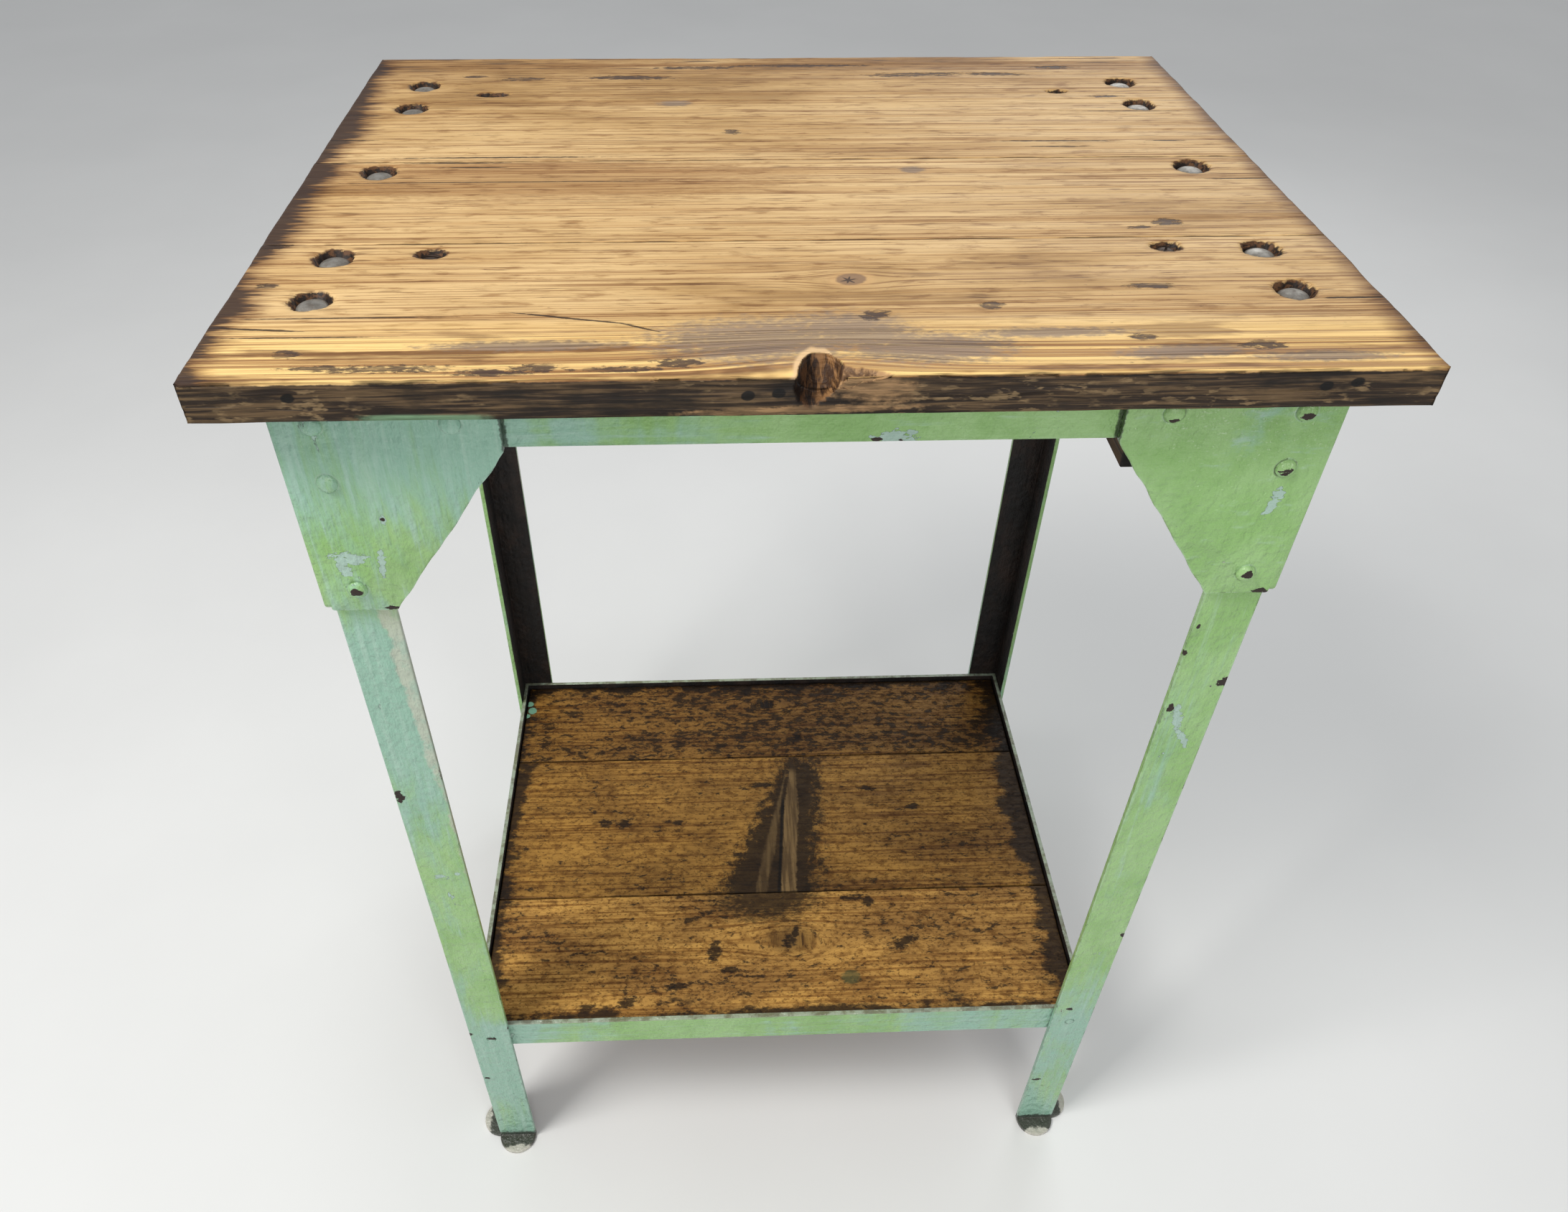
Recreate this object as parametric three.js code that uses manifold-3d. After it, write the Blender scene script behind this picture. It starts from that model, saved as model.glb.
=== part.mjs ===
// A plank-top worktable on a riveted angle-iron frame, with a plank shelf between its legs.
// Millimetres, +Z up. The origin is on the floor, under the middle of the top, and the front faces -Y.

import * as THREE from 'three';
import { mergeVertices } from 'three/addons/utils/BufferGeometryUtils.js';
import Module from 'manifold-3d';

// Overall size
const TABLE_HEIGHT = 880;
const TOP_WIDTH = 620;
const TOP_DEPTH = 495;
const TOP_THICKNESS = 23;
const OVERHANG_SIDE = 32;
const OVERHANG_FRONT = 28;
const OVERHANG_BACK = 35;

// Angle iron, and the gap left between pieces that touch
const FLANGE = 35;
const STEEL = 4;
const GAP = 0.3;

// Planks, from front to back
const TOP_BOARDS = [
  { name: 'top_board_front', depth: 152 },
  { name: 'top_board_middle', depth: 125 },
  { name: 'top_board_back', depth: 218 },
];
const SHELF_BOARDS = [
  { name: 'shelf_board_front', depth: 129.7 },
  { name: 'shelf_board_middle', depth: 174 },
  { name: 'shelf_board_back', depth: 111.7 },
];

// Bearers under the top
const BEARER_WIDTH = 52;
const BEARER_HEIGHT = 79;
const BEARER_CENTRE_X = 211;

// Gusset plates
const GUSSET_HEIGHT = 144;
const GUSSET_TOP_WIDTH = 115;
const GUSSET_FOOT_WIDTH = 38;
const GUSSET_CORNER = 5;

// Rivets through the gussets
const RIVET_INSET = 18;
const RIVET_DROPS = [17, 53, 128];
const RIVET_FAR = 89;
const RIVET_HEAD_RADIUS = 5.4;
const RIVET_HEAD_HEIGHT = 3.3;
const RIVET_TAIL_RADIUS = 5;
const RIVET_TAIL_HEIGHT = 2.6;
const RIVET_SHANK_RADIUS = 3;

// Shelf
const SHELF_RAIL_TOP = 213;
const SHELF_BOARD_THICKNESS = 26;
const SHELF_PLAY = 1.2;
const PLUG_RADIUS = 4;

// Foot tabs, where each flange turns outward on the floor
const FOOT_RADIUS = FLANGE / 2;

// Carriage bolts through the planks and the side rails
const BOLT_CENTRE_X = 265;
const BOLT_ROWS = [
  { name: '1', y: -163.5 },
  { name: '2', y: -112.5 },
  { name: '3', y: 13 },
  { name: '4', y: 132.5 },
  { name: '5', y: 182 },
];
const BOLT_RADIUS = 4;
const BOLT_HEAD_RADIUS = 9.8;
const BOLT_HEAD_HEIGHT = 4.6;
const BOLT_RIM = 0.4;
const BOLT_NECK = 8;
const BOLT_NECK_HEIGHT = 5;
const BOLT_TIP_BELOW_FRAME = 11;
const BOLT_RECESS_RADIUS = 12;
const BOLT_RECESS_DEPTH = 7;
const NUT_RADIUS = 7.5;
const NUT_HEIGHT = 6.4;

// Screws through the planks into the bearers
const SCREW_ROWS = [
  { name: 'front', y: -108 },
  { name: 'back', y: 162.5 },
];
const SCREW_RADIUS = 3;
const SCREW_HEAD_RADIUS = 6.2;
const SCREW_HEAD_HEIGHT = 3.2;
const SCREW_RIM = 0.5;
const SCREW_LENGTH = 48;
const SCREW_POINT = 8;
const SCREW_RECESS_RADIUS = 8.5;
const SCREW_RECESS_DEPTH = 6;

// Worn-out knot in the front edge of the top
const KNOT = { x: 0, reach: 26, halfWidth: 14, drop: 21, outset: 2 };

// Facets around a full turn
const RECESS_FACETS = 16;
const BOLT_FACETS = 12;
const RIVET_FACETS = 8;

// Places worked out from the sizes above
const FRAME_X = TOP_WIDTH / 2 - OVERHANG_SIDE;
const FRAME_FRONT = -TOP_DEPTH / 2 + OVERHANG_FRONT;
const FRAME_BACK = TOP_DEPTH / 2 - OVERHANG_BACK;
const BOARD_UNDERSIDE = TABLE_HEIGHT - TOP_THICKNESS;
const FRAME_TOP = BOARD_UNDERSIDE - GAP;
const RAIL_BOTTOM = BOARD_UNDERSIDE - FLANGE;
const SHELF_RAIL_BOTTOM = SHELF_RAIL_TOP - FLANGE;
const PLUG_Z = (SHELF_RAIL_TOP + SHELF_RAIL_BOTTOM) / 2;
const SHELF_X = FRAME_X - STEEL - GAP;
const SHELF_FRONT = FRAME_FRONT + STEEL + GAP;
const SHELF_BACK = FRAME_BACK - STEEL - GAP;

const SIDES = [
  { name: 'left', sign: -1 },
  { name: 'right', sign: 1 },
];
const ENDS = [
  { name: 'front', y: FRAME_FRONT, inward: 1 },
  { name: 'back', y: FRAME_BACK, inward: -1 },
];

const wasm = await Module();
wasm.setup();

const MATERIALS = {
  topWood: new THREE.MeshStandardMaterial({ color: 0xb98f5d, roughness: 0.75, metalness: 0 }),
  shelfWood: new THREE.MeshStandardMaterial({ color: 0x7a5a32, roughness: 0.8, metalness: 0 }),
  bearerWood: new THREE.MeshStandardMaterial({ color: 0x5a4329, roughness: 0.85, metalness: 0 }),
  paint: new THREE.MeshStandardMaterial({ color: 0x8dbb78, roughness: 0.4, metalness: 0.1 }),
  boltSteel: new THREE.MeshStandardMaterial({ color: 0x5a5858, roughness: 0.45, metalness: 0.8 }),
  rustySteel: new THREE.MeshStandardMaterial({ color: 0x4a3a30, roughness: 0.7, metalness: 0.6 }),
};

// Solids

function solid(geometry) {
  const bare = geometry.clone();
  bare.deleteAttribute('normal');
  bare.deleteAttribute('uv');
  const merged = mergeVertices(bare, 1e-4);
  return new wasm.Manifold(new wasm.Mesh({
    numProp: 3,
    vertProperties: new Float32Array(merged.attributes.position.array),
    triVerts: new Uint32Array(merged.index.array),
  }));
}

function geometryOf(manifold) {
  const mesh = manifold.getMesh();
  const geometry = new THREE.BufferGeometry();
  geometry.setAttribute('position', new THREE.BufferAttribute(mesh.vertProperties, 3));
  geometry.setIndex(new THREE.BufferAttribute(mesh.triVerts, 1));
  geometry.computeVertexNormals();
  return geometry;
}

// A box between two corners, given in any order along each axis
function block(xs, ys, zs) {
  const size = [xs, ys, zs].map(([a, b]) => Math.abs(b - a));
  const centre = [xs, ys, zs].map(([a, b]) => (a + b) / 2);
  return solid(new THREE.BoxGeometry(...size).translate(...centre));
}

function uprightCylinder(radius, x, y, zs, facets) {
  const height = Math.abs(zs[1] - zs[0]);
  const geometry = new THREE.CylinderGeometry(radius, radius, height, facets);
  geometry.rotateX(Math.PI / 2);
  return solid(geometry.translate(x, y, (zs[0] + zs[1]) / 2));
}

// Turns a geometry made along +Y to point along a direction, and moves it to a place
function pointed(geometry, place, direction) {
  const turn = new THREE.Quaternion().setFromUnitVectors(new THREE.Vector3(0, 1, 0), direction);
  return geometry.applyQuaternion(turn).translate(place.x, place.y, place.z);
}

// A hole centred on a place, as long as it needs to be to clear a flange
function crossHole(radius, place, direction) {
  const geometry = new THREE.CylinderGeometry(radius, radius, 6 * STEEL, RIVET_FACETS);
  return solid(pointed(geometry, place, direction));
}

function cutAll(body, tools) {
  return tools.reduce((result, tool) => result.subtract(tool), body);
}

function joinAll(bodies) {
  return bodies.reduce((result, body) => result.add(body));
}

// Points of a dome from its rim to its crown, as a lathe profile
function domeProfile(radius, rimHeight, height, steps) {
  const points = [];
  for (let i = 0; i <= steps; i += 1) {
    const angle = (i / steps) * (Math.PI / 2);
    points.push(new THREE.Vector2(radius * Math.cos(angle), rimHeight + height * Math.sin(angle)));
  }
  points[steps].x = 0;
  return points;
}

// Fastener places

// Rivets of a gusset: three down the leg and one out on the rail. "along" runs inward from the leg's corner.
function rivetSpots() {
  const spots = RIVET_DROPS.map((drop) => ({ along: RIVET_INSET, z: BOARD_UNDERSIDE - drop }));
  spots.push({ along: RIVET_FAR, z: BOARD_UNDERSIDE - RIVET_DROPS[0] });
  return spots;
}

// Rivet places on the outer face of the frame at a front or back corner, with the outward direction
function faceRivets(side, end) {
  return rivetSpots().map((spot) => ({
    place: new THREE.Vector3(side.sign * (FRAME_X - spot.along), end.y, spot.z),
    outward: new THREE.Vector3(0, -end.inward, 0),
  }));
}

// The same on the outer face at a side
function sideRivets(side, end) {
  return rivetSpots().map((spot) => ({
    place: new THREE.Vector3(side.sign * FRAME_X, end.y + end.inward * spot.along, spot.z),
    outward: new THREE.Vector3(side.sign, 0, 0),
  }));
}

function rivetHoles(rivets) {
  return rivets.map((rivet) => crossHole(RIVET_SHANK_RADIUS + GAP, rivet.place, rivet.outward));
}

// Flush plugs that fix the shelf frame to a leg, one through each flange
function plugSpots(side, end) {
  return [
    {
      name: `shelf_rivet_${end.name}_${side.name}_face`,
      place: new THREE.Vector3(side.sign * (FRAME_X - RIVET_INSET), end.y, PLUG_Z),
      outward: new THREE.Vector3(0, -end.inward, 0),
    },
    {
      name: `shelf_rivet_${end.name}_${side.name}_side`,
      place: new THREE.Vector3(side.sign * FRAME_X, end.y + end.inward * RIVET_INSET, PLUG_Z),
      outward: new THREE.Vector3(side.sign, 0, 0),
    },
  ];
}

function plugHoles(spots) {
  return spots.map((spot) => crossHole(PLUG_RADIUS + GAP, spot.place, spot.outward));
}

// Planks

// The recess, neck pocket and shank hole for a carriage bolt
function boltHole(x, y) {
  const floor = TABLE_HEIGHT - BOLT_RECESS_DEPTH;
  const half = BOLT_NECK / 2 + GAP;
  return [
    uprightCylinder(BOLT_RECESS_RADIUS, x, y, [floor, TABLE_HEIGHT + 1], RECESS_FACETS),
    block([x - half, x + half], [y - half, y + half], [floor - BOLT_NECK_HEIGHT - GAP, TABLE_HEIGHT + 1]),
    uprightCylinder(BOLT_RADIUS + GAP, x, y, [BOARD_UNDERSIDE - 1, TABLE_HEIGHT + 1], BOLT_FACETS),
  ];
}

function screwHole(x, y) {
  const recess = [TABLE_HEIGHT - SCREW_RECESS_DEPTH, TABLE_HEIGHT + 1];
  return [
    uprightCylinder(SCREW_RECESS_RADIUS, x, y, recess, RECESS_FACETS),
    uprightCylinder(SCREW_RADIUS + GAP, x, y, [BOARD_UNDERSIDE - 1, TABLE_HEIGHT + 1], BOLT_FACETS),
  ];
}

function knotScoop() {
  const scoop = new THREE.SphereGeometry(1, 12, 8);
  scoop.scale(KNOT.halfWidth, KNOT.reach, KNOT.drop);
  scoop.translate(KNOT.x, -TOP_DEPTH / 2 - KNOT.outset, TABLE_HEIGHT + KNOT.outset);
  return solid(scoop);
}

// Holes whose centres fall in a plank between two depths
function holesBetween(low, high) {
  const inside = (row) => row.y > low && row.y < high;
  const bolts = BOLT_ROWS.filter(inside);
  const screws = SCREW_ROWS.filter(inside);
  return SIDES.flatMap((side) => [
    ...bolts.flatMap((row) => boltHole(side.sign * BOLT_CENTRE_X, row.y)),
    ...screws.flatMap((row) => screwHole(side.sign * BEARER_CENTRE_X, row.y)),
  ]);
}

function topBoards() {
  let low = -TOP_DEPTH / 2;
  return TOP_BOARDS.map((board, index) => {
    const high = low + board.depth;
    const front = index === 0 ? low : low + GAP / 2;
    const back = index === TOP_BOARDS.length - 1 ? high : high - GAP / 2;
    const plank = block([-TOP_WIDTH / 2, TOP_WIDTH / 2], [front, back], [BOARD_UNDERSIDE, TABLE_HEIGHT]);
    const cuts = holesBetween(low, high);
    if (index === 0) cuts.push(knotScoop());
    low = high;
    return { name: board.name, body: cutAll(plank, cuts), material: MATERIALS.topWood };
  });
}

function shelfBoards() {
  const halfWidth = SHELF_X - STEEL - SHELF_PLAY;
  const floor = SHELF_RAIL_BOTTOM + STEEL + GAP;
  let low = SHELF_FRONT + STEEL;
  return SHELF_BOARDS.map((board) => {
    const high = low + board.depth;
    const ys = [low + SHELF_PLAY / 2, high - SHELF_PLAY / 2];
    low = high;
    const body = block([-halfWidth, halfWidth], ys, [floor, floor + SHELF_BOARD_THICKNESS]);
    return { name: board.name, body, material: MATERIALS.shelfWood };
  });
}

// Bearers run between the front and back rails and hang below the planks
function bearers() {
  return SIDES.map((side) => {
    const centre = side.sign * BEARER_CENTRE_X;
    const ys = [FRAME_FRONT + FLANGE + GAP, FRAME_BACK - FLANGE - GAP];
    const beam = block(
      [centre - BEARER_WIDTH / 2, centre + BEARER_WIDTH / 2],
      ys,
      [BOARD_UNDERSIDE - BEARER_HEIGHT, BOARD_UNDERSIDE - GAP],
    );
    const pilotBottom = TABLE_HEIGHT - SCREW_RECESS_DEPTH - SCREW_LENGTH - 2;
    const pilots = SCREW_ROWS.map((row) => (
      uprightCylinder(SCREW_RADIUS + GAP, centre, row.y, [pilotBottom, TABLE_HEIGHT], BOLT_FACETS)
    ));
    return { name: `top_bearer_${side.name}`, body: cutAll(beam, pilots), material: MATERIALS.bearerWood };
  });
}

// Steel frame

// A half disc lying on the floor, with its flat side just inside the flange it grows from
function footTab(x, y, outward) {
  const shape = new THREE.Shape();
  const buried = STEEL / 2;
  shape.moveTo(FOOT_RADIUS, -buried);
  shape.lineTo(FOOT_RADIUS, 0);
  shape.absarc(0, 0, FOOT_RADIUS, 0, Math.PI, false);
  shape.lineTo(-FOOT_RADIUS, -buried);
  const tab = new THREE.ExtrudeGeometry(shape, { depth: STEEL, bevelEnabled: false, curveSegments: 8 });
  tab.rotateZ(Math.atan2(outward.y, outward.x) - Math.PI / 2);
  return solid(tab.translate(x, y, 0));
}

function leg(side, end) {
  const outerX = side.sign * FRAME_X;
  const innerX = outerX - side.sign * FLANGE;
  const innerY = end.y + end.inward * FLANGE;
  const zs = [0, FRAME_TOP];
  const face = block([outerX, innerX], [end.y, end.y + end.inward * STEEL], zs);
  const flank = block([outerX, outerX - side.sign * STEEL], [end.y, innerY], zs);
  const faceTab = footTab((outerX + innerX) / 2, end.y, { x: 0, y: -end.inward });
  const flankTab = footTab(outerX, (end.y + innerY) / 2, { x: side.sign, y: 0 });
  const holes = [
    ...rivetHoles([...faceRivets(side, end), ...sideRivets(side, end)]),
    ...plugHoles(plugSpots(side, end)),
  ];
  return {
    name: `leg_${end.name}_${side.name}`,
    body: cutAll(joinAll([face, flank, faceTab, flankTab]), holes),
    material: MATERIALS.paint,
  };
}

// Front and back top rails fit between the legs, with the flat flange under the planks
function crossTopRail(end) {
  const reach = FRAME_X - FLANGE - GAP;
  const xs = [-reach, reach];
  const upright = block(xs, [end.y, end.y + end.inward * STEEL], [RAIL_BOTTOM, FRAME_TOP]);
  const flat = block(xs, [end.y, end.y + end.inward * FLANGE], [FRAME_TOP - STEEL, FRAME_TOP]);
  const holes = SIDES.flatMap((side) => rivetHoles(faceRivets(side, end)));
  return {
    name: `top_rail_${end.name}`,
    body: cutAll(upright.add(flat), holes),
    material: MATERIALS.paint,
  };
}

// Side top rails: the flat flange runs on into the corners of the legs, the upright one stops short
function sideTopRail(side) {
  const outerX = side.sign * FRAME_X;
  const innerX = outerX - side.sign * FLANGE;
  const tuckedX = outerX - side.sign * (STEEL + GAP);
  const between = [FRAME_FRONT + FLANGE + GAP, FRAME_BACK - FLANGE - GAP];
  const throughout = [FRAME_FRONT + STEEL + GAP, FRAME_BACK - STEEL - GAP];
  const flatZs = [FRAME_TOP - STEEL, FRAME_TOP];
  const body = joinAll([
    block([outerX, outerX - side.sign * STEEL], between, [RAIL_BOTTOM, FRAME_TOP]),
    block([outerX, innerX], between, flatZs),
    block([tuckedX, innerX], throughout, flatZs),
  ]);
  const boltHoles = BOLT_ROWS.map((row) => uprightCylinder(
    BOLT_RADIUS + GAP,
    side.sign * BOLT_CENTRE_X,
    row.y,
    [FRAME_TOP - 2 * STEEL, FRAME_TOP + 1],
    BOLT_FACETS,
  ));
  const holes = ENDS.flatMap((end) => rivetHoles(sideRivets(side, end)));
  return {
    name: `top_rail_${side.name}`,
    body: cutAll(body, [...boltHoles, ...holes]),
    material: MATERIALS.paint,
  };
}

// Shelf rails stand inside the legs with the flat flange at the bottom, under the planks
function crossShelfRail(end) {
  const outerY = end.y + end.inward * (STEEL + GAP);
  const flatX = SHELF_X - STEEL - GAP;
  const upright = block(
    [-SHELF_X, SHELF_X],
    [outerY, outerY + end.inward * STEEL],
    [SHELF_RAIL_BOTTOM, SHELF_RAIL_TOP],
  );
  const flat = block(
    [-flatX, flatX],
    [outerY, outerY + end.inward * FLANGE],
    [SHELF_RAIL_BOTTOM, SHELF_RAIL_BOTTOM + STEEL],
  );
  const holes = SIDES.flatMap((side) => plugHoles(plugSpots(side, end).slice(0, 1)));
  return {
    name: `shelf_rail_${end.name}`,
    body: cutAll(upright.add(flat), holes),
    material: MATERIALS.paint,
  };
}

function sideShelfRail(side) {
  const outerX = side.sign * SHELF_X;
  const uprightYs = [SHELF_FRONT + STEEL + GAP, SHELF_BACK - STEEL - GAP];
  const flatYs = [SHELF_FRONT + FLANGE + GAP, SHELF_BACK - FLANGE - GAP];
  const upright = block(
    [outerX, outerX - side.sign * STEEL],
    uprightYs,
    [SHELF_RAIL_BOTTOM, SHELF_RAIL_TOP],
  );
  const flat = block(
    [outerX, outerX - side.sign * FLANGE],
    flatYs,
    [SHELF_RAIL_BOTTOM, SHELF_RAIL_BOTTOM + STEEL],
  );
  const holes = ENDS.flatMap((end) => plugHoles(plugSpots(side, end).slice(1)));
  return {
    name: `shelf_rail_${side.name}`,
    body: cutAll(upright.add(flat), holes),
    material: MATERIALS.paint,
  };
}

// Gusset plates with their rivets

// Outline in (along, up): along runs inward from the outer edge, up is height above the floor
function gussetShape(outset) {
  const top = FRAME_TOP;
  const foot = BOARD_UNDERSIDE - GUSSET_HEIGHT;
  const shape = new THREE.Shape();
  shape.moveTo(-outset, top);
  shape.lineTo(GUSSET_TOP_WIDTH, top);
  shape.lineTo(GUSSET_TOP_WIDTH, RAIL_BOTTOM);
  shape.lineTo(GUSSET_FOOT_WIDTH, foot);
  if (outset > 0) {
    shape.lineTo(-outset + GUSSET_CORNER, foot);
    shape.quadraticCurveTo(-outset, foot, -outset, foot + GUSSET_CORNER);
  } else {
    shape.lineTo(-outset, foot);
  }
  return shape;
}

function gussetPlate(outset) {
  const plate = new THREE.ExtrudeGeometry(gussetShape(outset), {
    depth: STEEL,
    bevelEnabled: false,
    curveSegments: 4,
  });
  return plate.rotateX(Math.PI / 2);
}

// A rivet along +Y with y = 0 on the frame's outer face: dome outside the plate, tail dome inside the steel
function rivet() {
  const plateFace = GAP + STEEL;
  const head = domeProfile(RIVET_HEAD_RADIUS, plateFace, RIVET_HEAD_HEIGHT, 2);
  const tail = domeProfile(RIVET_TAIL_RADIUS, STEEL + GAP, RIVET_TAIL_HEIGHT, 2);
  const profile = [
    ...tail.reverse().map((point) => new THREE.Vector2(point.x, -point.y)),
    new THREE.Vector2(RIVET_SHANK_RADIUS, -STEEL - GAP),
    new THREE.Vector2(RIVET_SHANK_RADIUS, GAP + STEEL / 2),
    new THREE.Vector2(RIVET_HEAD_RADIUS, GAP + STEEL / 2),
    ...head,
  ];
  return new THREE.LatheGeometry(profile, RIVET_FACETS);
}

function withRivets(plate, rivets) {
  return joinAll([plate, ...rivets.map((spot) => solid(pointed(rivet(), spot.place, spot.outward)))]);
}

// A plate on the front or back face of a corner. It stops at the frame's outer edge.
function faceGusset(side, end) {
  const plate = gussetPlate(0);
  const mirrored = side.sign > 0;
  plate.translate(-FRAME_X, 0, 0);
  if (mirrored) plate.rotateZ(Math.PI);
  const box = new THREE.Box3().setFromBufferAttribute(plate.attributes.position);
  const outerY = end.y - end.inward * (GAP + STEEL);
  const shift = end.inward > 0 ? outerY - box.min.y : outerY - box.max.y;
  plate.translate(0, shift, 0);
  return {
    name: `gusset_${end.name}_${side.name}`,
    body: withRivets(solid(plate), faceRivets(side, end)),
    material: MATERIALS.paint,
  };
}

// A plate on the side of a corner. It covers the edge of the front or back plate.
function sideGusset(side, end) {
  const plate = gussetPlate(GAP + STEEL);
  plate.rotateZ(end.inward > 0 ? Math.PI / 2 : -Math.PI / 2);
  plate.translate(0, end.y, 0);
  const box = new THREE.Box3().setFromBufferAttribute(plate.attributes.position);
  const innerX = side.sign * (FRAME_X + GAP);
  plate.translate(side.sign > 0 ? innerX - box.min.x : innerX - box.max.x, 0, 0);
  return {
    name: `gusset_side_${end.name}_${side.name}`,
    body: withRivets(solid(plate), sideRivets(side, end)),
    material: MATERIALS.paint,
  };
}

// Fasteners

function carriageBolt(side, row) {
  const seat = TABLE_HEIGHT - BOLT_RECESS_DEPTH + GAP;
  const tip = FRAME_TOP - BOLT_TIP_BELOW_FRAME - STEEL;
  const profile = [
    new THREE.Vector2(0, tip),
    new THREE.Vector2(BOLT_RADIUS - 1, tip),
    new THREE.Vector2(BOLT_RADIUS, tip + 1),
    new THREE.Vector2(BOLT_RADIUS, seat),
    new THREE.Vector2(BOLT_HEAD_RADIUS, seat),
    ...domeProfile(BOLT_HEAD_RADIUS, seat + BOLT_RIM, BOLT_HEAD_HEIGHT - BOLT_RIM, 3),
  ];
  const x = side.sign * BOLT_CENTRE_X;
  const half = BOLT_NECK / 2;
  const turned = new THREE.LatheGeometry(profile, BOLT_FACETS).rotateX(Math.PI / 2).translate(x, row.y, 0);
  const neckZs = [seat - BOLT_NECK_HEIGHT, seat + BOLT_RIM];
  const neck = block([x - half, x + half], [row.y - half, row.y + half], neckZs);
  return {
    name: `carriage_bolt_${side.name}_${row.name}`,
    body: solid(turned).add(neck),
    material: MATERIALS.boltSteel,
  };
}

function nut(side, row) {
  const x = side.sign * BOLT_CENTRE_X;
  const top = FRAME_TOP - STEEL - GAP;
  const hexagon = uprightCylinder(NUT_RADIUS, x, row.y, [top - NUT_HEIGHT, top], 6);
  const bore = uprightCylinder(BOLT_RADIUS + GAP, x, row.y, [top - NUT_HEIGHT - 1, top + 1], BOLT_FACETS);
  return {
    name: `nut_${side.name}_${row.name}`,
    body: hexagon.subtract(bore),
    material: MATERIALS.rustySteel,
  };
}

function bearerScrew(side, row) {
  const seat = TABLE_HEIGHT - SCREW_RECESS_DEPTH + GAP;
  const profile = [
    new THREE.Vector2(0, seat - SCREW_LENGTH),
    new THREE.Vector2(SCREW_RADIUS, seat - SCREW_LENGTH + SCREW_POINT),
    new THREE.Vector2(SCREW_RADIUS, seat),
    new THREE.Vector2(SCREW_HEAD_RADIUS, seat),
    ...domeProfile(SCREW_HEAD_RADIUS, seat + SCREW_RIM, SCREW_HEAD_HEIGHT - SCREW_RIM, 3),
  ];
  const turned = new THREE.LatheGeometry(profile, BOLT_FACETS).rotateX(Math.PI / 2);
  return {
    name: `bearer_screw_${row.name}_${side.name}`,
    body: solid(turned.translate(side.sign * BEARER_CENTRE_X, row.y, 0)),
    material: MATERIALS.rustySteel,
  };
}

// A flush rivet from the leg's outer face to the shelf rail's inner face
function shelfPlug(spot) {
  const length = 2 * STEEL + GAP;
  const geometry = new THREE.CylinderGeometry(PLUG_RADIUS, PLUG_RADIUS, length, RIVET_FACETS);
  geometry.translate(0, -length / 2, 0);
  return {
    name: spot.name,
    body: solid(pointed(geometry, spot.place, spot.outward)),
    material: MATERIALS.paint,
  };
}

// Assembly

const corners = SIDES.flatMap((side) => ENDS.map((end) => ({ side, end })));
const boltPlaces = SIDES.flatMap((side) => BOLT_ROWS.map((row) => ({ side, row })));
const screwPlaces = SIDES.flatMap((side) => SCREW_ROWS.map((row) => ({ side, row })));

const pieces = [
  ...topBoards(),
  ...shelfBoards(),
  ...bearers(),
  ...corners.map(({ side, end }) => leg(side, end)),
  ...ENDS.map(crossTopRail),
  ...SIDES.map(sideTopRail),
  ...ENDS.map(crossShelfRail),
  ...SIDES.map(sideShelfRail),
  ...corners.map(({ side, end }) => faceGusset(side, end)),
  ...corners.map(({ side, end }) => sideGusset(side, end)),
  ...boltPlaces.map(({ side, row }) => carriageBolt(side, row)),
  ...boltPlaces.map(({ side, row }) => nut(side, row)),
  ...screwPlaces.map(({ side, row }) => bearerScrew(side, row)),
  ...corners.flatMap(({ side, end }) => plugSpots(side, end)).map(shelfPlug),
];

const table = new THREE.Group();
for (const piece of pieces) {
  const mesh = new THREE.Mesh(geometryOf(piece.body), piece.material.clone());
  mesh.name = piece.name;
  table.add(mesh);
}

export default table;
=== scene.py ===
import math

import bmesh
import bpy
import numpy as np
from mathutils import Matrix, Vector


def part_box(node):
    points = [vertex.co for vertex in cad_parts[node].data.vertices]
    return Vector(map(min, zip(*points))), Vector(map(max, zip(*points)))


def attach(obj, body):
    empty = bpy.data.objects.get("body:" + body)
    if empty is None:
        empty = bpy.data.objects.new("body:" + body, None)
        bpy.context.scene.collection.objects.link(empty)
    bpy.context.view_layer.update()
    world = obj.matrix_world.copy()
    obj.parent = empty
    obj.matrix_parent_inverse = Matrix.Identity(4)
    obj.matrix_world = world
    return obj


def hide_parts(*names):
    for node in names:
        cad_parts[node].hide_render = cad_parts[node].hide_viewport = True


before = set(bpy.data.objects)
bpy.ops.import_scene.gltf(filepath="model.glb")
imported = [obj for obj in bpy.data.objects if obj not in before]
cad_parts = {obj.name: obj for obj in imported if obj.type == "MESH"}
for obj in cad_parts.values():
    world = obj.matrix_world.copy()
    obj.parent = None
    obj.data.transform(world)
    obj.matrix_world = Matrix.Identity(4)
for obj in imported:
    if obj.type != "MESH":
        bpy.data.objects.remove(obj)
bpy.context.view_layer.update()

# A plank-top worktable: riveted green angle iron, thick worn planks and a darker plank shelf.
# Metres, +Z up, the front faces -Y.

# Sizes read from the frame
BOXES = {name: tuple(Vector(corner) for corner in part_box(name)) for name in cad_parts}
TOP_Z = BOXES["top_board_front"][1].z
UNDERSIDE_Z = BOXES["top_board_front"][0].z
TOP_X = BOXES["top_board_front"][1].x
TOP_FRONT = BOXES["top_board_front"][0].y
TOP_BACK = BOXES["top_board_back"][1].y
FRAME_X = BOXES["top_rail_right"][1].x
FRAME_FRONT = BOXES["top_rail_front"][0].y
FRAME_BACK = BOXES["top_rail_back"][1].y
SHELF_RAIL_TOP = BOXES["shelf_rail_front"][1].z
SHELF_X = BOXES["shelf_board_front"][1].x
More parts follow.
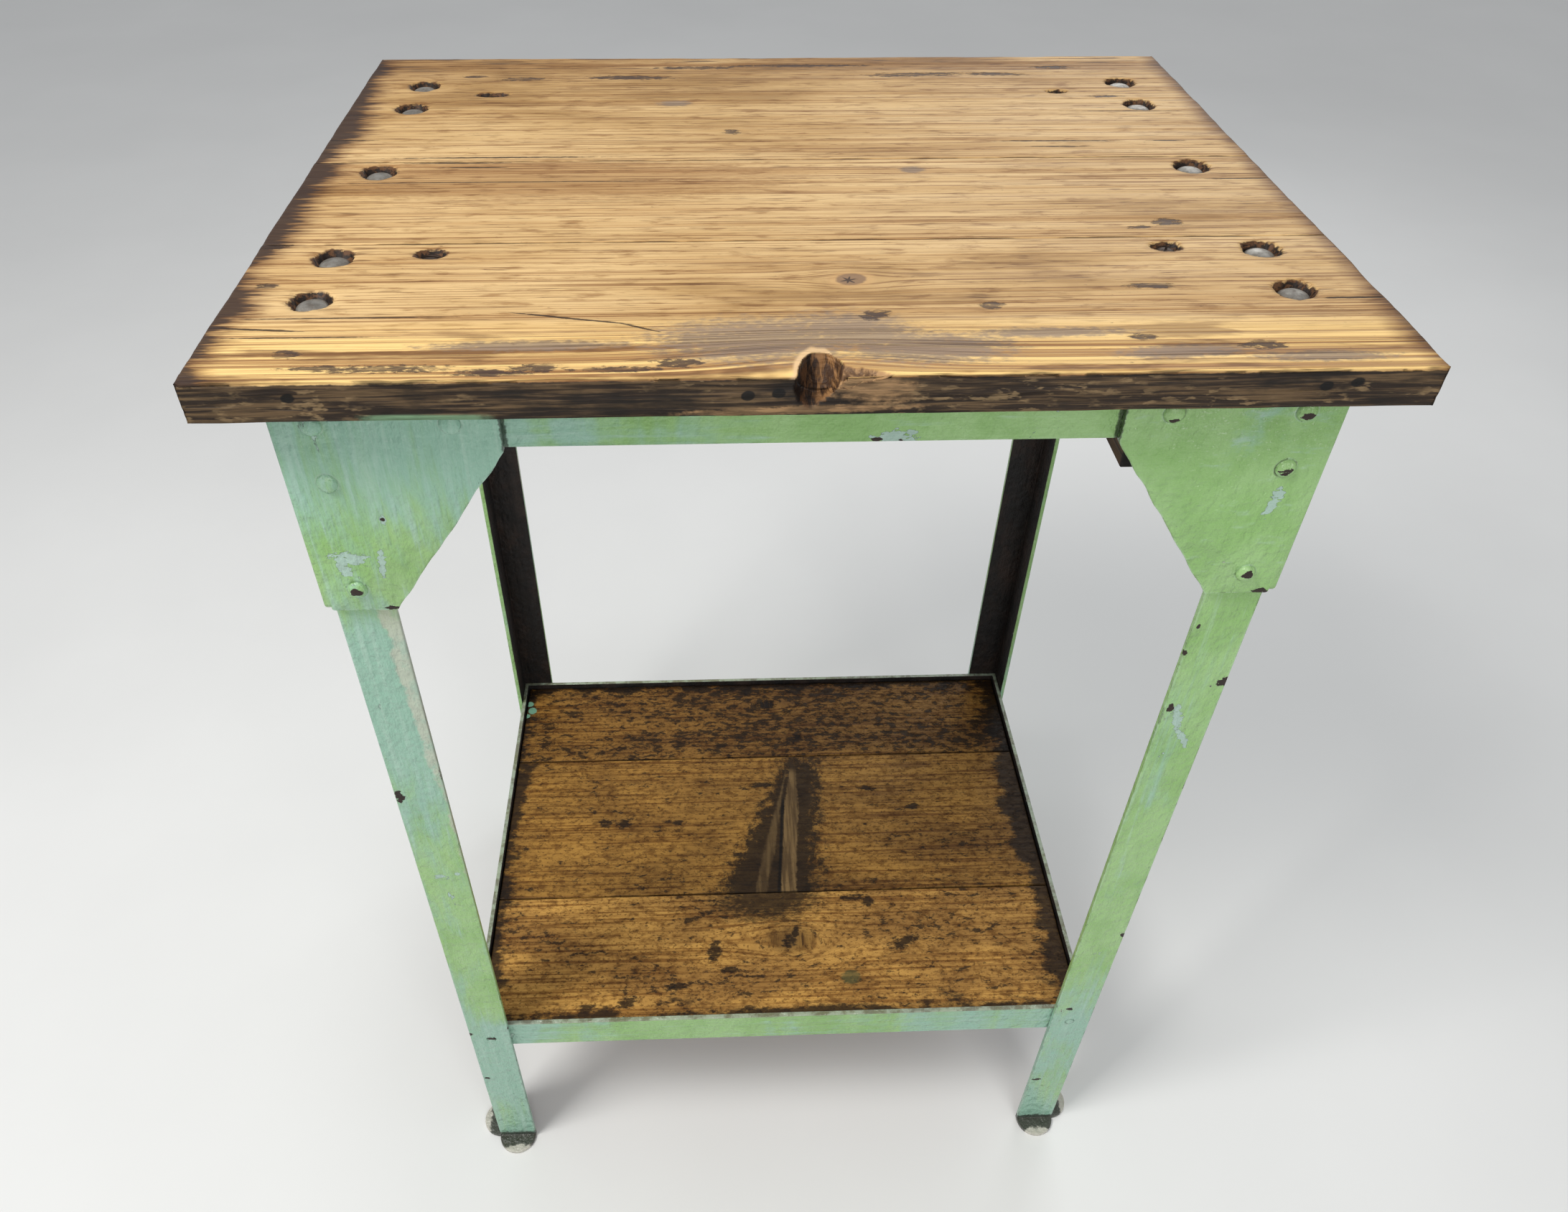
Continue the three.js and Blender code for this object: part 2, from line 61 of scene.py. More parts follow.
SHELF_FRONT = BOXES["shelf_board_front"][0].y
SHELF_BACK = BOXES["shelf_board_back"][1].y
MM = 0.001
# Angle iron: how thick and how wide, and the gap that the frame leaves between solids
STEEL = 4 * MM
FLANGE = 35 * MM
FIT_GAP = 0.3 * MM

# Gussets: where the rivets are, and the plate's widths and drops from the underside of the top
RIVET_DROPS = (0.017, 0.053, 0.128)
RIVET_INSET = 0.018
RIVET_FAR = 0.089
GUSSET_TOP = 0.115
GUSSET_FOOT = 0.038
GUSSET_DROP = 0.144
# How far a front or back plate reaches past the frame's corner, a hair short of the side plate
FACE_REACH = 0.27 * MM


def centre_of(name):
    low, high = BOXES[name]
    return (low + high) / 2


def link_object(name, data):
    """Puts a new object with this data in the scene."""
    made = bpy.data.objects.new(name, data)
    bpy.context.scene.collection.objects.link(made)
    return made


def mesh_from(work, name):
    """Turns a bmesh into a mesh, and frees it."""
    mesh = bpy.data.meshes.new(name)
    work.to_mesh(mesh)
    work.free()
    return mesh


BOLTS = [centre_of(name) for name in sorted(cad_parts) if name.startswith("carriage_bolt")]
SCREWS = [centre_of(name) for name in sorted(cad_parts) if name.startswith("bearer_screw")]
BOLT_RECESS = {"radius": 11 * MM, "depth": 7 * MM}
SCREW_RECESS = {"radius": 7.6 * MM, "depth": 6 * MM}
# Visible width of a bolt head, as a share of the CAD head's width
BOLT_HEAD_SHARE = 0.93


# ---------------------------------------------------------------- camera, light and floor

def add_camera():
    """The camera stands to the left of the middle, above the top, and looks steeply down."""
    data = bpy.data.cameras.new("camera")
    data.sensor_width = 36
    data.lens = 26.38
    data.shift_x = 0.0229
    data.shift_y = 0.0032
    camera = link_object("camera", data)
    place = Vector((-0.0553, -0.7342, 1.1646))
    forward = Vector((0.0306, 0.7437, -0.6678)).normalized()
    up = Vector((0.0197, 0.6675, 0.7443))
    right = forward.cross(up).normalized()
    up = right.cross(forward)
    turn = Matrix((right, up, -forward)).transposed()
    camera.matrix_world = Matrix.Translation(place) @ turn.to_4x4()
    bpy.context.scene.camera = camera
    bpy.context.scene.view_settings.view_transform = "Standard"


def add_area_light(name, place, target, size, power, colour=(1.0, 1.0, 1.0)):
    data = bpy.data.lights.new(name, "AREA")
    data.shape = "RECTANGLE"
    data.size, data.size_y = size
    data.energy = power
    data.color = colour
    light = link_object(name, data)
    light.location = place
    light.rotation_euler = (Vector(target) - Vector(place)).to_track_quat("-Z", "Y").to_euler()


def add_lights():
    world = bpy.data.worlds.new("studio")
    world.use_nodes = True
    background = world.node_tree.nodes["Background"]
    background.inputs["Color"].default_value = (0.95, 0.97, 1.0, 1.0)
    background.inputs["Strength"].default_value = 0.47
    bpy.context.scene.world = world
    add_area_light("key", (-1.2, -0.8, 2.4), (0.0, 0.0, 0.6), (0.8, 0.8), 38, (1.0, 0.985, 0.96))
    add_area_light("front_fill", (0.5, -1.9, 1.5), (0.0, 0.0, 0.75), (1.0, 0.8), 11.5)
    add_area_light("back_rim", (0.9, 1.8, 1.9), (0.0, 0.0, 0.5), (1.2, 1.0), 11, (0.96, 0.98, 1.0))


def add_floor():
    mesh = bpy.data.meshes.new("floor")
    half = 6.0
    corners = [(-half, -half, 0), (half, -half, 0), (half, half, 0), (-half, half, 0)]
    mesh.from_pydata(corners, [], [(0, 1, 2, 3)])
    floor = link_object("floor", mesh)
    floor.data.materials.append(floor_material())


# ---------------------------------------------------------------- shader helpers

class Value:
    """A number that a node puts out, with arithmetic that adds math nodes to its shader."""

    def __init__(self, shader, socket):
        self.shader = shader
        self.socket = socket

    def __add__(self, other):
        return self.shader.math("ADD", self, other)

    def __radd__(self, other):
        return self.shader.math("ADD", other, self)

    def __sub__(self, other):
        return self.shader.math("SUBTRACT", self, other)

    def __rsub__(self, other):
        return self.shader.math("SUBTRACT", other, self)

    def __mul__(self, other):
        return self.shader.math("MULTIPLY", self, other)

    def __truediv__(self, other):
        return self.shader.math("DIVIDE", self, other)

    def __abs__(self):
        return self.shader.math("ABSOLUTE", self)


class Shader:
    """Short names for building one material's node tree."""

    def __init__(self, name):
        self.material = bpy.data.materials.new(name)
        self.material.use_nodes = True
        self.tree = self.material.node_tree
        self.surface = self.tree.nodes["Principled BSDF"]
        self.here = self.node("ShaderNodeTexCoord").outputs["Object"]
        split = self.node("ShaderNodeSeparateXYZ", Vector=self.here)
        self.x, self.y, self.z = (Value(self, socket) for socket in split.outputs)
        self.shared_noise = None

    def node(self, kind, settings=None, **inputs):
        made = self.tree.nodes.new(kind)
        for key, value in (settings or {}).items():
            setattr(made, key, value)
        for key, value in inputs.items():
            self.feed(made.inputs[key.replace("_", " ")], value)
        return made

    def feed(self, socket, value):
        """Links a value or a node's output to a socket, or sets the socket to a plain number."""
        if isinstance(value, Value):
            value = value.socket
        if isinstance(value, bpy.types.NodeSocket):
            self.tree.links.new(value, socket)
        else:
            socket.default_value = value

    def math(self, operation, a, b=0.0):
        made = self.node("ShaderNodeMath", {"operation": operation})
        for socket, value in zip(made.inputs, (a, b)):
            self.feed(socket, value)
        return Value(self, made.outputs[0])

    def ramp(self, value, low, high, out_low=0.0, out_high=1.0):
        """A smooth step from out_low to out_high as the value goes from low to high."""
        made = self.node("ShaderNodeMapRange", {"interpolation_type": "SMOOTHSTEP"})
        for socket, number in zip(made.inputs, (value, low, high, out_low, out_high)):
            self.feed(socket, number)
        return Value(self, made.outputs[0])

    def scaled(self, scale, offset, source):
        made = self.node("ShaderNodeMapping", Vector=self.here if source is None else source)
        made.inputs["Scale"].default_value = scale
        made.inputs["Location"].default_value = offset
        return made.outputs[0]

    def noise(self, scale, detail=4.0, rough=0.55, offset=(0.0, 0.0, 0.0), source=None, warp=0.0):
        made = self.node("ShaderNodeTexNoise", Vector=self.scaled(scale, offset, source))
        made.inputs["Scale"].default_value = 1.0
        made.inputs["Detail"].default_value = detail
        made.inputs["Roughness"].default_value = rough
        made.inputs["Distortion"].default_value = warp
        return Value(self, made.outputs["Fac"])

    def mix(self, amount, a, b):
        made = self.node("ShaderNodeMix", {"data_type": "RGBA"})
        self.feed(made.inputs[0], amount)
        self.feed(made.inputs[6], a if isinstance(a, bpy.types.NodeSocket) else colour(a))
        self.feed(made.inputs[7], b if isinstance(b, bpy.types.NodeSocket) else colour(b))
        return made.outputs[2]

    def darken(self, base, amount, tint):
        """Multiplies a colour towards a tint by an amount."""
        made = self.node("ShaderNodeMix", {"data_type": "RGBA", "blend_type": "MULTIPLY"})
        self.feed(made.inputs[0], amount)
        self.feed(made.inputs[6], base)
        self.feed(made.inputs[7], colour(tint))
        return made.outputs[2]

    def mark(self, place, radii, turn=0.0, ragged=0.0, soft=0.35, axes="xy"):
        """A soft-edged ellipse on the surface: 1 inside it, 0 outside."""
        first = getattr(self, axes[0]) - place[0]
        second = getattr(self, axes[1]) - place[1]
        c, s = math.cos(turn), math.sin(turn)
        along = first * (c / radii[0]) + second * (s / radii[0])
        across = first * (-s / radii[1]) + second * (c / radii[1])
        reach = along * along + across * across
        if ragged:
            reach = reach + self.ragged_noise() * ragged
        return self.ramp(reach, 1.0 - soft, 1.0 + soft, 1.0, 0.0)

    def ragged_noise(self):
        """One noise, from about -0.5 to 0.5, shared by all the marks of a material."""
        if self.shared_noise is None:
            noise = self.noise((190, 420, 330), 3.0, 0.6)
            self.shared_noise = noise - 0.5
        return self.shared_noise

    def marks(self, rows, ragged, soft, board_name):
        """All the marks of a list of (x, y, half length, half width, turn) that lie on a board."""
        low, high = BOXES[board_name]
        return self.largest([0.0] + [
            self.mark((x, y), (length, width), turn, ragged, soft)
            for x, y, length, width, turn in rows
            if low.y - length < y < high.y + length
        ])

    def shifted(self, along_y):
        """Object coordinates moved along Y by a changing amount, so that grain runs round a knot."""
        return self.node("ShaderNodeCombineXYZ", X=self.x, Y=self.y + along_y, Z=self.z).outputs[0]

    def edge(self, radius, low, high):
        """1 along the corners of the shape, 0 away from them."""
        bevel = self.node("ShaderNodeBevel", {"samples": 6}, Radius=radius)
        flat = self.node("ShaderNodeNewGeometry").outputs["Normal"]
        dot = self.node("ShaderNodeVectorMath", {"operation": "DOT_PRODUCT"})
        self.feed(dot.inputs[0], bevel.outputs[0])
        self.feed(dot.inputs[1], flat)
        return self.ramp(1.0 - Value(self, dot.outputs["Value"]), low, high)

    def attribute(self, name):
        return Value(self, self.node("ShaderNodeAttribute", {"attribute_name": name}).outputs["Fac"])

    def largest(self, values):
        """The largest of several values, of which the first may be a plain number."""
        result = values[0]
        for value in values[1:]:
            result = self.math("MAXIMUM", result, value)
        return result

    def bump(self, height, distance, strength):
        made = self.node("ShaderNodeBump", Height=height)
        made.inputs["Strength"].default_value = strength
        made.inputs["Distance"].default_value = distance
        return made.outputs[0]

    def finish(self, base, rough, normal=None, metallic=0.0, specular=0.5):
        self.surface.inputs["Specular IOR Level"].default_value = specular
        self.feed(self.surface.inputs["Base Color"], base)
        self.feed(self.surface.inputs["Roughness"], rough)
        if normal is not None:
            self.feed(self.surface.inputs["Normal"], normal)
        self.feed(self.surface.inputs["Metallic"], metallic)
        return self.material


def colour(srgb):
    """Linear colour with alpha, from the 0 to 255 values seen on screen."""
    linear = []
    for channel in srgb:
        value = channel / 255
        linear.append(value / 12.92 if value <= 0.04045 else ((value + 0.055) / 1.055) ** 2.4)
    return (*linear, 1.0)


# ---------------------------------------------------------------- materials

def floor_material():
    shader = Shader("pale_floor")
    cloud = shader.noise((2.2, 2.2, 2.2), 5.0)
    base = shader.mix(cloud, (228, 228, 226), (238, 238, 236))
    return shader.finish(base, shader.ramp(cloud, 0.3, 0.7, 0.6, 0.75))


def knot_bend(shader, knots):
    """How far the grain is pushed aside around each knot."""
    bend = 0.0
    for x, y, spread, push in knots:
        dx = (shader.x - x) / (spread * 2.4)
        dy = (shader.y - y) / spread
        reach = dx * dx + dy * dy
        fall = shader.math("EXPONENT", reach * -1.0)
        bend = bend + dy * fall * -push
    return bend


# Knots of the top: x, y, spread, push
TOP_KNOTS = [
    (-0.036, 0.081, 0.006, 0.006),
    (0.024, -0.146, 0.011, 0.012),
    (0.0, TOP_FRONT, 0.026, 0.022),
]
# Marks: x, y, half length, half width, turn
TOP_SPOTS = [
    (-0.036, 0.081, 0.0050, 0.0040, 0.2),
    (-0.193, 0.197, 0.015, 0.0034, 0.02),
    (-0.230, 0.203, 0.008, 0.0024, 0.0),
    (-0.112, 0.199, 0.028, 0.0042, -0.03),
    (-0.060, 0.222, 0.030, 0.0030, 0.0),
    (0.020, 0.226, 0.050, 0.0026, 0.0),
    (0.110, 0.203, 0.036, 0.0040, 0.03),
    (0.172, 0.203, 0.022, 0.0034, -0.04),
    (0.222, 0.219, 0.016, 0.0030, 0.0),
    (0.246, 0.150, 0.012, 0.0022, 0.0),
    (0.221, -0.075, 0.0075, 0.0046, 0.1),
    (0.203, -0.082, 0.0070, 0.0020, 0.1),
    (0.095, -0.178, 0.0065, 0.0034, 0.0),
    (0.033, -0.187, 0.008, 0.0040, 0.4),
    (0.187, -0.158, 0.012, 0.0028, 0.0),
    (-0.304, -0.098, 0.010, 0.0026, 0.1),
    (-0.292, -0.147, 0.005, 0.0030, 0.0),
    (-0.213, -0.236, 0.030, 0.0034, 0.0),
    (-0.245, -0.235, 0.014, 0.0026, 0.0),
    (-0.160, -0.241, 0.018, 0.0032, 0.0),
    (-0.138, -0.237, 0.011, 0.0036, 0.0),
    (-0.098, -0.239, 0.020, 0.0024, 0.0),
    (-0.070, -0.234, 0.010, 0.0040, 0.0),
    (-0.263, -0.221, 0.006, 0.0034, 0.0),
    (0.225, -0.223, 0.010, 0.0040, 0.0),
    (0.166, -0.214, 0.006, 0.0030, 0.0),
]
TOP_SMUDGES = [
    (-0.030, -0.212, 0.052, 0.022, 0.0),
    (0.020, -0.206, 0.036, 0.020, -0.3),
    (0.056, -0.222, 0.040, 0.015, 0.0),
    (-0.145, -0.215, 0.050, 0.0050, 0.0),
    (0.182, -0.229, 0.032, 0.0065, 0.05),
    (0.250, -0.235, 0.034, 0.0050, 0.0),
    (0.120, -0.208, 0.040, 0.0050, 0.0),
    (-0.076, 0.140, 0.012, 0.0060, 0.0),
    (0.080, 0.010, 0.008, 0.0050, 0.0),
]
TOP_CRACKS = [
    (-0.126, -0.187, 0.031, 0.0008, -0.22),
    (-0.089, -0.198, 0.011, 0.0007, -0.45),
    (-0.287, -0.195, 0.026, 0.0009, -0.10),
    (-0.262, -0.204, 0.040, 0.0006, 0.0),
    (-0.240, -0.184, 0.050, 0.0006, 0.0),
    (0.184, 0.0595, 0.040, 0.0010, -0.01),
    (0.186, 0.0490, 0.020, 0.0009, -0.02),
    (0.263, 0.0590, 0.012, 0.0008, 0.0),
    (0.292, -0.1740, 0.018, 0.0010, 0.0),
    (0.290, -0.0090, 0.024, 0.0008, 0.0),
    (-0.190, 0.0365, 0.062, 0.0010, 0.0),
    (-0.215, 0.0275, 0.032, 0.0009, 0.0),
    (-0.205, 0.0195, 0.020, 0.0008, 0.0),
    (-0.180, -0.0050, 0.090, 0.0006, 0.0),
    (0.250, 0.1180, 0.040, 0.0006, -0.02),
    (-0.295, 0.0700, 0.016, 0.0010, 0.0),
    (-0.297, 0.1180, 0.014, 0.0009, 0.0),
]


def joint_seam(shader, board_name, seed):
    """A dark, broken line along both long edges of a board."""
    low, high = (corner.y for corner in BOXES[board_name])
    wobble = shader.noise((26, 1, 1), 3.0, offset=(seed, 0, 0))
    wobble = (wobble - 0.42) * 0.0040
    to_edge = shader.math("MINIMUM", shader.y - low, high - shader.y)
    return shader.ramp(to_edge + wobble, 0.0003, 0.0010, 1.0, 0.0)


def end_dirt(shader, seed):
    """Dark handled ends: a wide, uneven stain on the left and a thin one on the right."""
    to_end = TOP_X - abs(shader.x)
    slow = shader.noise((3, 17, 4), 3.0, 0.6, offset=(seed, 6.0, 0))
    streak = shader.noise((30, 330, 60), 4.0, 0.65, offset=(seed + 21, 0, 0))
    left = shader.ramp(shader.x, 0.1, -0.1)
    reach = shader.ramp(left, 0.0, 1.0, 0.35, 1.0)
    change = (streak - 0.5) * -0.040 + (slow - 0.5) * -0.044
    to_end = to_end + change * reach
    to_end = to_end - left * 0.0085
    soft = shader.ramp(to_end, 0.000, 0.017, 1.0, 0.0)
    hard = shader.ramp(to_end, -0.002, 0.005, 1.0, 0.0)
    return soft, hard * shader.ramp(left, 0.0, 1.0, 0.5, 1.0)


def face_grime(shader, seed):
    """The near-black sides of the top: fibres, nail holes, torn lighter wood and a green paint smear."""
    fibre = shader.noise((16, 16, 430), 4.0, 0.62, offset=(seed + 31, 0, 0))
    cloud = shader.noise((22, 22, 60), 4.0, 0.6, offset=(seed + 37, 0, 0))
    grime = shader.mix(shader.ramp(fibre, 0.44, 0.62), (40, 29, 20), (96, 76, 52))
    grime = shader.mix(shader.ramp(cloud, 0.5, 0.64, 0.0, 0.75), grime, (22, 17, 13))
    speck = shader.noise((90, 90, 300), 3.0, 0.6, offset=(seed + 41, 0, 0))
    grain = shader.ramp(cloud, 0.52, 0.38) * shader.ramp(speck, 0.52, 0.62)
    grime = shader.mix(grain * 0.65, grime, (142, 118, 84))
    if seed < 2:
        pale = shader.ramp(shader.noise((70, 70, 520), 3.0, 0.6, offset=(3, 0, 8)), 0.42, 0.6)
        torn = shader.mark((0.024, 0.8715), (0.022, 0.0080), -0.16, ragged=3.0, soft=0.7, axes="xz")
        lip_place = (-0.010, UNDERSIDE_Z + 0.0025)
        lip = shader.mark(lip_place, (0.055, 0.0022), 0.02, ragged=4.0, soft=0.6, axes="xz")
        torn = shader.math("MAXIMUM", torn, lip) * (0.35 + pale * 0.6)
        grime = shader.mix(torn, grime, (150, 118, 82))
    holes = shader.largest([
        shader.mark(place, (0.0034, 0.0026), 0.2, ragged=0.6, soft=0.3, axes="xz")
        for place in ((-0.258, 0.870), (-0.021, 0.869), (-0.036, 0.868), (0.251, 0.869), (0.266, 0.871))
    ])
    grime = shader.mix(holes * 0.95, grime, (8, 6, 5))
    low_down = shader.ramp(shader.z, UNDERSIDE_Z + 0.0035, UNDERSIDE_Z + 0.0015)
    smear = low_down * shader.mark((-0.195, UNDERSIDE_Z), (0.030, 0.02), ragged=1.0, axes="xz")
    return shader.mix(smear, grime, (118, 150, 116)), fibre


def top_wood(board_name, seed):
    """Honey-brown softwood, worn into golden ridges near the front, with dirty ends and black sides."""
    shader = Shader(board_name + "_wood")
    grain = shader.shifted(knot_bend(shader, TOP_KNOTS))
    cloud = shader.noise((4.5, 14, 13), 5.0, 0.6, (seed, 1.0, 0), grain)
    band = shader.noise((1.8, 150, 105), 4.0, 0.62, (seed * 2, 0, 0), grain)
    line = shader.noise((5.5, 780, 500), 3.0, 0.62, (seed * 3, 0, 0), grain)
    tick = shader.noise((38, 560, 400), 2.0, 0.5, (seed + 7, 0, 0), grain)
    mottle = shader.noise((46, 190, 140), 4.0, 0.6, (seed + 4, 0, 0), grain)

    base = shader.mix(shader.ramp(cloud, 0.35, 0.66), (219, 185, 131), (198, 161, 106))
    base = shader.darken(base, shader.ramp(band, 0.44, 0.68, 0.0, 0.42), (182, 146, 104))
    base = shader.darken(base, shader.ramp(mottle, 0.52, 0.70, 0.0, 0.60), (168, 138, 104))
    base = shader.darken(base, shader.ramp(line, 0.50, 0.62, 0.0, 0.66), (146, 108, 70))
    base = shader.darken(base, shader.ramp(tick, 0.60, 0.72, 0.0, 0.55), (112, 80, 50))
    base = shader.darken(base, shader.ramp(cloud, 0.56, 0.68, 0.0, 0.55), (192, 178, 152))
    worn = shader.mark((-0.160, 0.000), (0.150, 0.034), ragged=1.5, soft=0.7)
    base = shader.darken(base, worn * 0.5, (186, 158, 128))
    worn_back = shader.ramp(shader.y, TOP_BACK - 0.075, TOP_BACK - 0.02, 0.0, 0.5)
    base = shader.darken(base, worn_back * shader.ramp(cloud, 0.36, 0.56), (170, 142, 108))

    near_front = shader.ramp(shader.y, TOP_FRONT + 0.068, TOP_FRONT + 0.030)
    ridge_noise = shader.noise((1.6, 380, 170), 3.0, 0.5, (seed + 9, 0, 0), grain)
    ridge = shader.ramp(ridge_noise, 0.43, 0.62)
    golden = shader.mix(ridge, (244, 206, 134), (164, 121, 74))
    golden = shader.darken(golden, shader.ramp(line, 0.52, 0.66, 0.0, 0.55), (150, 108, 66))
    base = shader.mix(near_front * 0.92, base, golden)
    bruise = shader.noise((13, 70, 40), 4.0, 0.62, (seed + 2, 4.0, 0), grain)
    bruise_zone = shader.ramp(shader.y, TOP_FRONT + 0.07, TOP_FRONT + 0.03, 0.05, 0.6)
    bruise = shader.ramp(bruise, 0.52, 0.64) * bruise_zone
    base = shader.darken(base, bruise, (124, 94, 84))
    smudge = shader.marks(TOP_SMUDGES, 3.2, 0.8, board_name)
    smudge_tone = shader.mix(shader.ramp(line, 0.46, 0.62), (146, 126, 108), (96, 80, 68))
    base = shader.mix(smudge * 0.84, base, smudge_tone)

    spots = shader.marks(TOP_SPOTS, 6.0, 0.6, board_name)
    spots = spots * shader.ramp(mottle, 0.34, 0.52, 0.45, 0.9)
    base = shader.mix(spots, base, (66, 50, 44))
    dash = shader.noise((14, 210, 150), 3.0, 0.6, (seed + 11, 0, 0), grain)
    dash_zone = shader.math("MAXIMUM", shader.ramp(shader.y, TOP_BACK - 0.060, TOP_BACK - 0.015), 0.10)
    dashes = shader.ramp(dash, 0.57, 0.68) * dash_zone
    base = shader.mix(dashes * 0.75, base, (74, 56, 46))
    cracks = shader.marks(TOP_CRACKS, 2.5, 0.6, board_name)
    seam = joint_seam(shader, board_name, seed)
    cracks = shader.math("MAXIMUM", cracks, seam * 0.8)
    base = shader.mix(cracks * 0.9, base, (44, 29, 20))

    knot = shader.mark((0.024, -0.146), (0.0085, 0.0068), 0.3, ragged=0.6, soft=0.25)
    knot_rim = shader.mark((0.024, -0.146), (0.0130, 0.0105), 0.3, ragged=0.8, soft=0.4)
    knot_crack = shader.largest([
        shader.mark((0.0225, -0.147), (0.0046, 0.0007), turn, ragged=2.0, soft=0.4)
        for turn in (0.3, 1.3, 2.3)
    ])
    base = shader.mix(knot_rim * 0.55, base, (196, 154, 100))
    base = shader.mix(knot * 0.8, base, (120, 92, 70))
    base = shader.mix(knot_crack * 0.9, base, (50, 34, 26))

    dirt, black = end_dirt(shader, seed)
    base = shader.darken(base, dirt * 0.75, (126, 92, 70))
    base = shader.mix(black * 0.88, base, (52, 38, 32))
    pit = shader.attribute("pit")
    pit_noise = shader.noise((200, 420, 300), 3.0, 0.6)
    pit_level = pit + (pit_noise - 0.5) * 0.9
    # The bolt and screw recesses, with a thin ragged ring round each, are painted dark brown to near-black:
    # partly dirt in the wood, partly painted shade in the hollows.
    pit_colour = shader.mix(shader.ramp(pit_noise, 0.45, 0.62), (30, 20, 14), (92, 62, 38))
    base = shader.mix(shader.ramp(pit_level, 0.12, 0.36), base, pit_colour)

    grime, face_fibre = face_grime(shader, seed)
    top_line = shader.z + shader.ragged_noise() * 0.0016
    flank = shader.ramp(top_line, TOP_Z - 0.0024, TOP_Z - 0.0034)
    flank = flank * shader.ramp(pit, 0.05, 0.0)
    base = shader.mix(flank, base, grime)

    tear = shader.attribute("tear")
    splinters = shader.noise((90, 90, 90), 4.0, 0.7, warp=1.0)
    tear_tone = shader.mix(shader.ramp(splinters, 0.4, 0.62), (172, 134, 92), (96, 70, 48))
    base = shader.mix(tear, base, tear_tone)
    rim = shader.attribute("rim")
    base = shader.mix(shader.ramp(rim, 0.25, 0.6, 0.0, 0.9), base, (226, 190, 142))
    scoop_fibre = shader.noise((330, 60, 80), 3.0, 0.65, warp=0.5)
    # Painted shade in the knot's hollow: the ramp below runs from 0 on the left wall, which gets dark shaded
    # copies of the fibre tones, to 1 on the lit right wall.
    painted_wall_light = shader.ramp(shader.x, -0.008, 0.007, 0.0, 1.0)
    scoop_light = shader.mix(painted_wall_light, (78, 52, 32), (156, 114, 72))
    scoop_dark = shader.mix(painted_wall_light, (22, 14, 10), (66, 44, 28))
    scoop_colour = shader.mix(shader.ramp(scoop_fibre, 0.42, 0.60), scoop_dark, scoop_light)
    base = shader.mix(shader.attribute("scoop"), base, scoop_colour)

    height = line * -0.5 + tick * -0.35
    height = height - ridge * near_front * 0.9
    height = height - shader.math("MAXIMUM", cracks, spots) * 1.5
    height = height + face_fibre * flank * 2.0
    normal = shader.bump(height, 0.0007, 0.8)
    return shader.finish(base, shader.ramp(band, 0.3, 0.7, 0.50, 0.66), normal, specular=0.25)


# Marks of the shelf: x, y, half length, half width, turn
SHELF_SPOTS = [
    (0.011, -0.136, 0.0075, 0.0060, 0.6),
    (0.017, -0.128, 0.0030, 0.0080, -0.3),
    (-0.171, 0.007, 0.0065, 0.0050, 0.0),
    (-0.151, 0.006, 0.0070, 0.0055, 0.2),
    (-0.095, 0.006, 0.0060, 0.0030, 0.0),
    (-0.008, 0.053, 0.0120, 0.0035, 0.0),
    (0.003, 0.171, 0.0100, 0.0070, 0.0),
    (0.032, 0.117, 0.0090, 0.0050, 0.0),
    (-0.060, -0.145, 0.0060, 0.0110, -0.2),
    (-0.045, -0.165, 0.0090, 0.0030, 0.0),
    (-0.095, -0.180, 0.0100, 0.0035, 0.0),
    (-0.140, -0.195, 0.0090, 0.0050, 0.3),
    (0.090, -0.095, 0.0060, 0.0050, 0.0),
    (0.120, -0.140, 0.0140, 0.0050, 0.4),
    (0.075, -0.090, 0.0120, 0.0035, 0.1),
    (0.150, 0.020, 0.0070, 0.0040, 0.0),
    (0.105, 0.045, 0.0100, 0.0030, -0.2),
]
# Light and dark wood of each shelf board
SHELF_TONES = {
    "shelf_board_front": ((204, 156, 80), (150, 110, 56)),
    "shelf_board_middle": ((170, 127, 60), (124, 89, 42)),
    "shelf_board_back": ((176, 132, 64), (128, 92, 46)),
}


def shelf_stain(shader, base, board_name, feather):
    """The middle board's wedge-shaped black stain with two smooth paler strips in it, and the dark
    patch that it leaves on the front board."""
    if "front" in board_name:
        patch = shader.mark((-0.008, -0.086), (0.048, 0.028), ragged=3.0, soft=0.8)
        whorl = shader.mark((0.012, -0.134), (0.022, 0.015), ragged=1.6, soft=0.8)
        patch = shader.math("MAXIMUM", patch, whorl * 0.5)
        return shader.mix(patch * 0.88, base, (36, 26, 15))
    if "middle" not in board_name:
        return base

    def along(start, slope):
        return shader.x - (start + shader.y * slope)

    inside = shader.math("MINIMUM", along(-0.0195, 0.45), along(0.050, 0.08) * -1.0)
    inside = shader.math("MINIMUM", inside, 0.088 - shader.y)
    stain = shader.ramp(inside + feather, -0.010, 0.009)
    base = shader.mix(stain * 0.92, base, (34, 24, 14))
    fibre = shader.noise((180, 14, 40), 4.0, 0.6)
    tone = shader.mix(shader.ramp(fibre, 0.4, 0.62), (88, 68, 42), (132, 106, 68))
    right_width = shader.ramp(shader.y, 0.085, 0.01, 0.0030, 0.0076)
    right = abs(along(0.0205, 0.09)) - right_width
    left_width = shader.ramp(shader.y, 0.062, -0.04, 0.0005, 0.0055)
    left = abs(along(0.0040, 0.22)) - left_width
    edge_noise = feather * 0.10
    right = shader.ramp(right + edge_noise, -0.0012, 0.0012, 1.0, 0.0)
    left = shader.ramp(left + edge_noise, -0.0016, 0.0016, 1.0, 0.0)
    end = shader.ramp(shader.y, 0.078, 0.066)
    base = shader.mix(left * (end * 0.45), base, tone)
    base = shader.mix(right * (end * 0.90), base, tone)
    slit = shader.ramp(abs(along(0.0116, 0.09)), 0.0007, 0.0026, 1.0, 0.0)
    slit = slit * shader.ramp(shader.y, 0.045, 0.025)
    return shader.mix(slit * 0.85, base, (13, 10, 8))


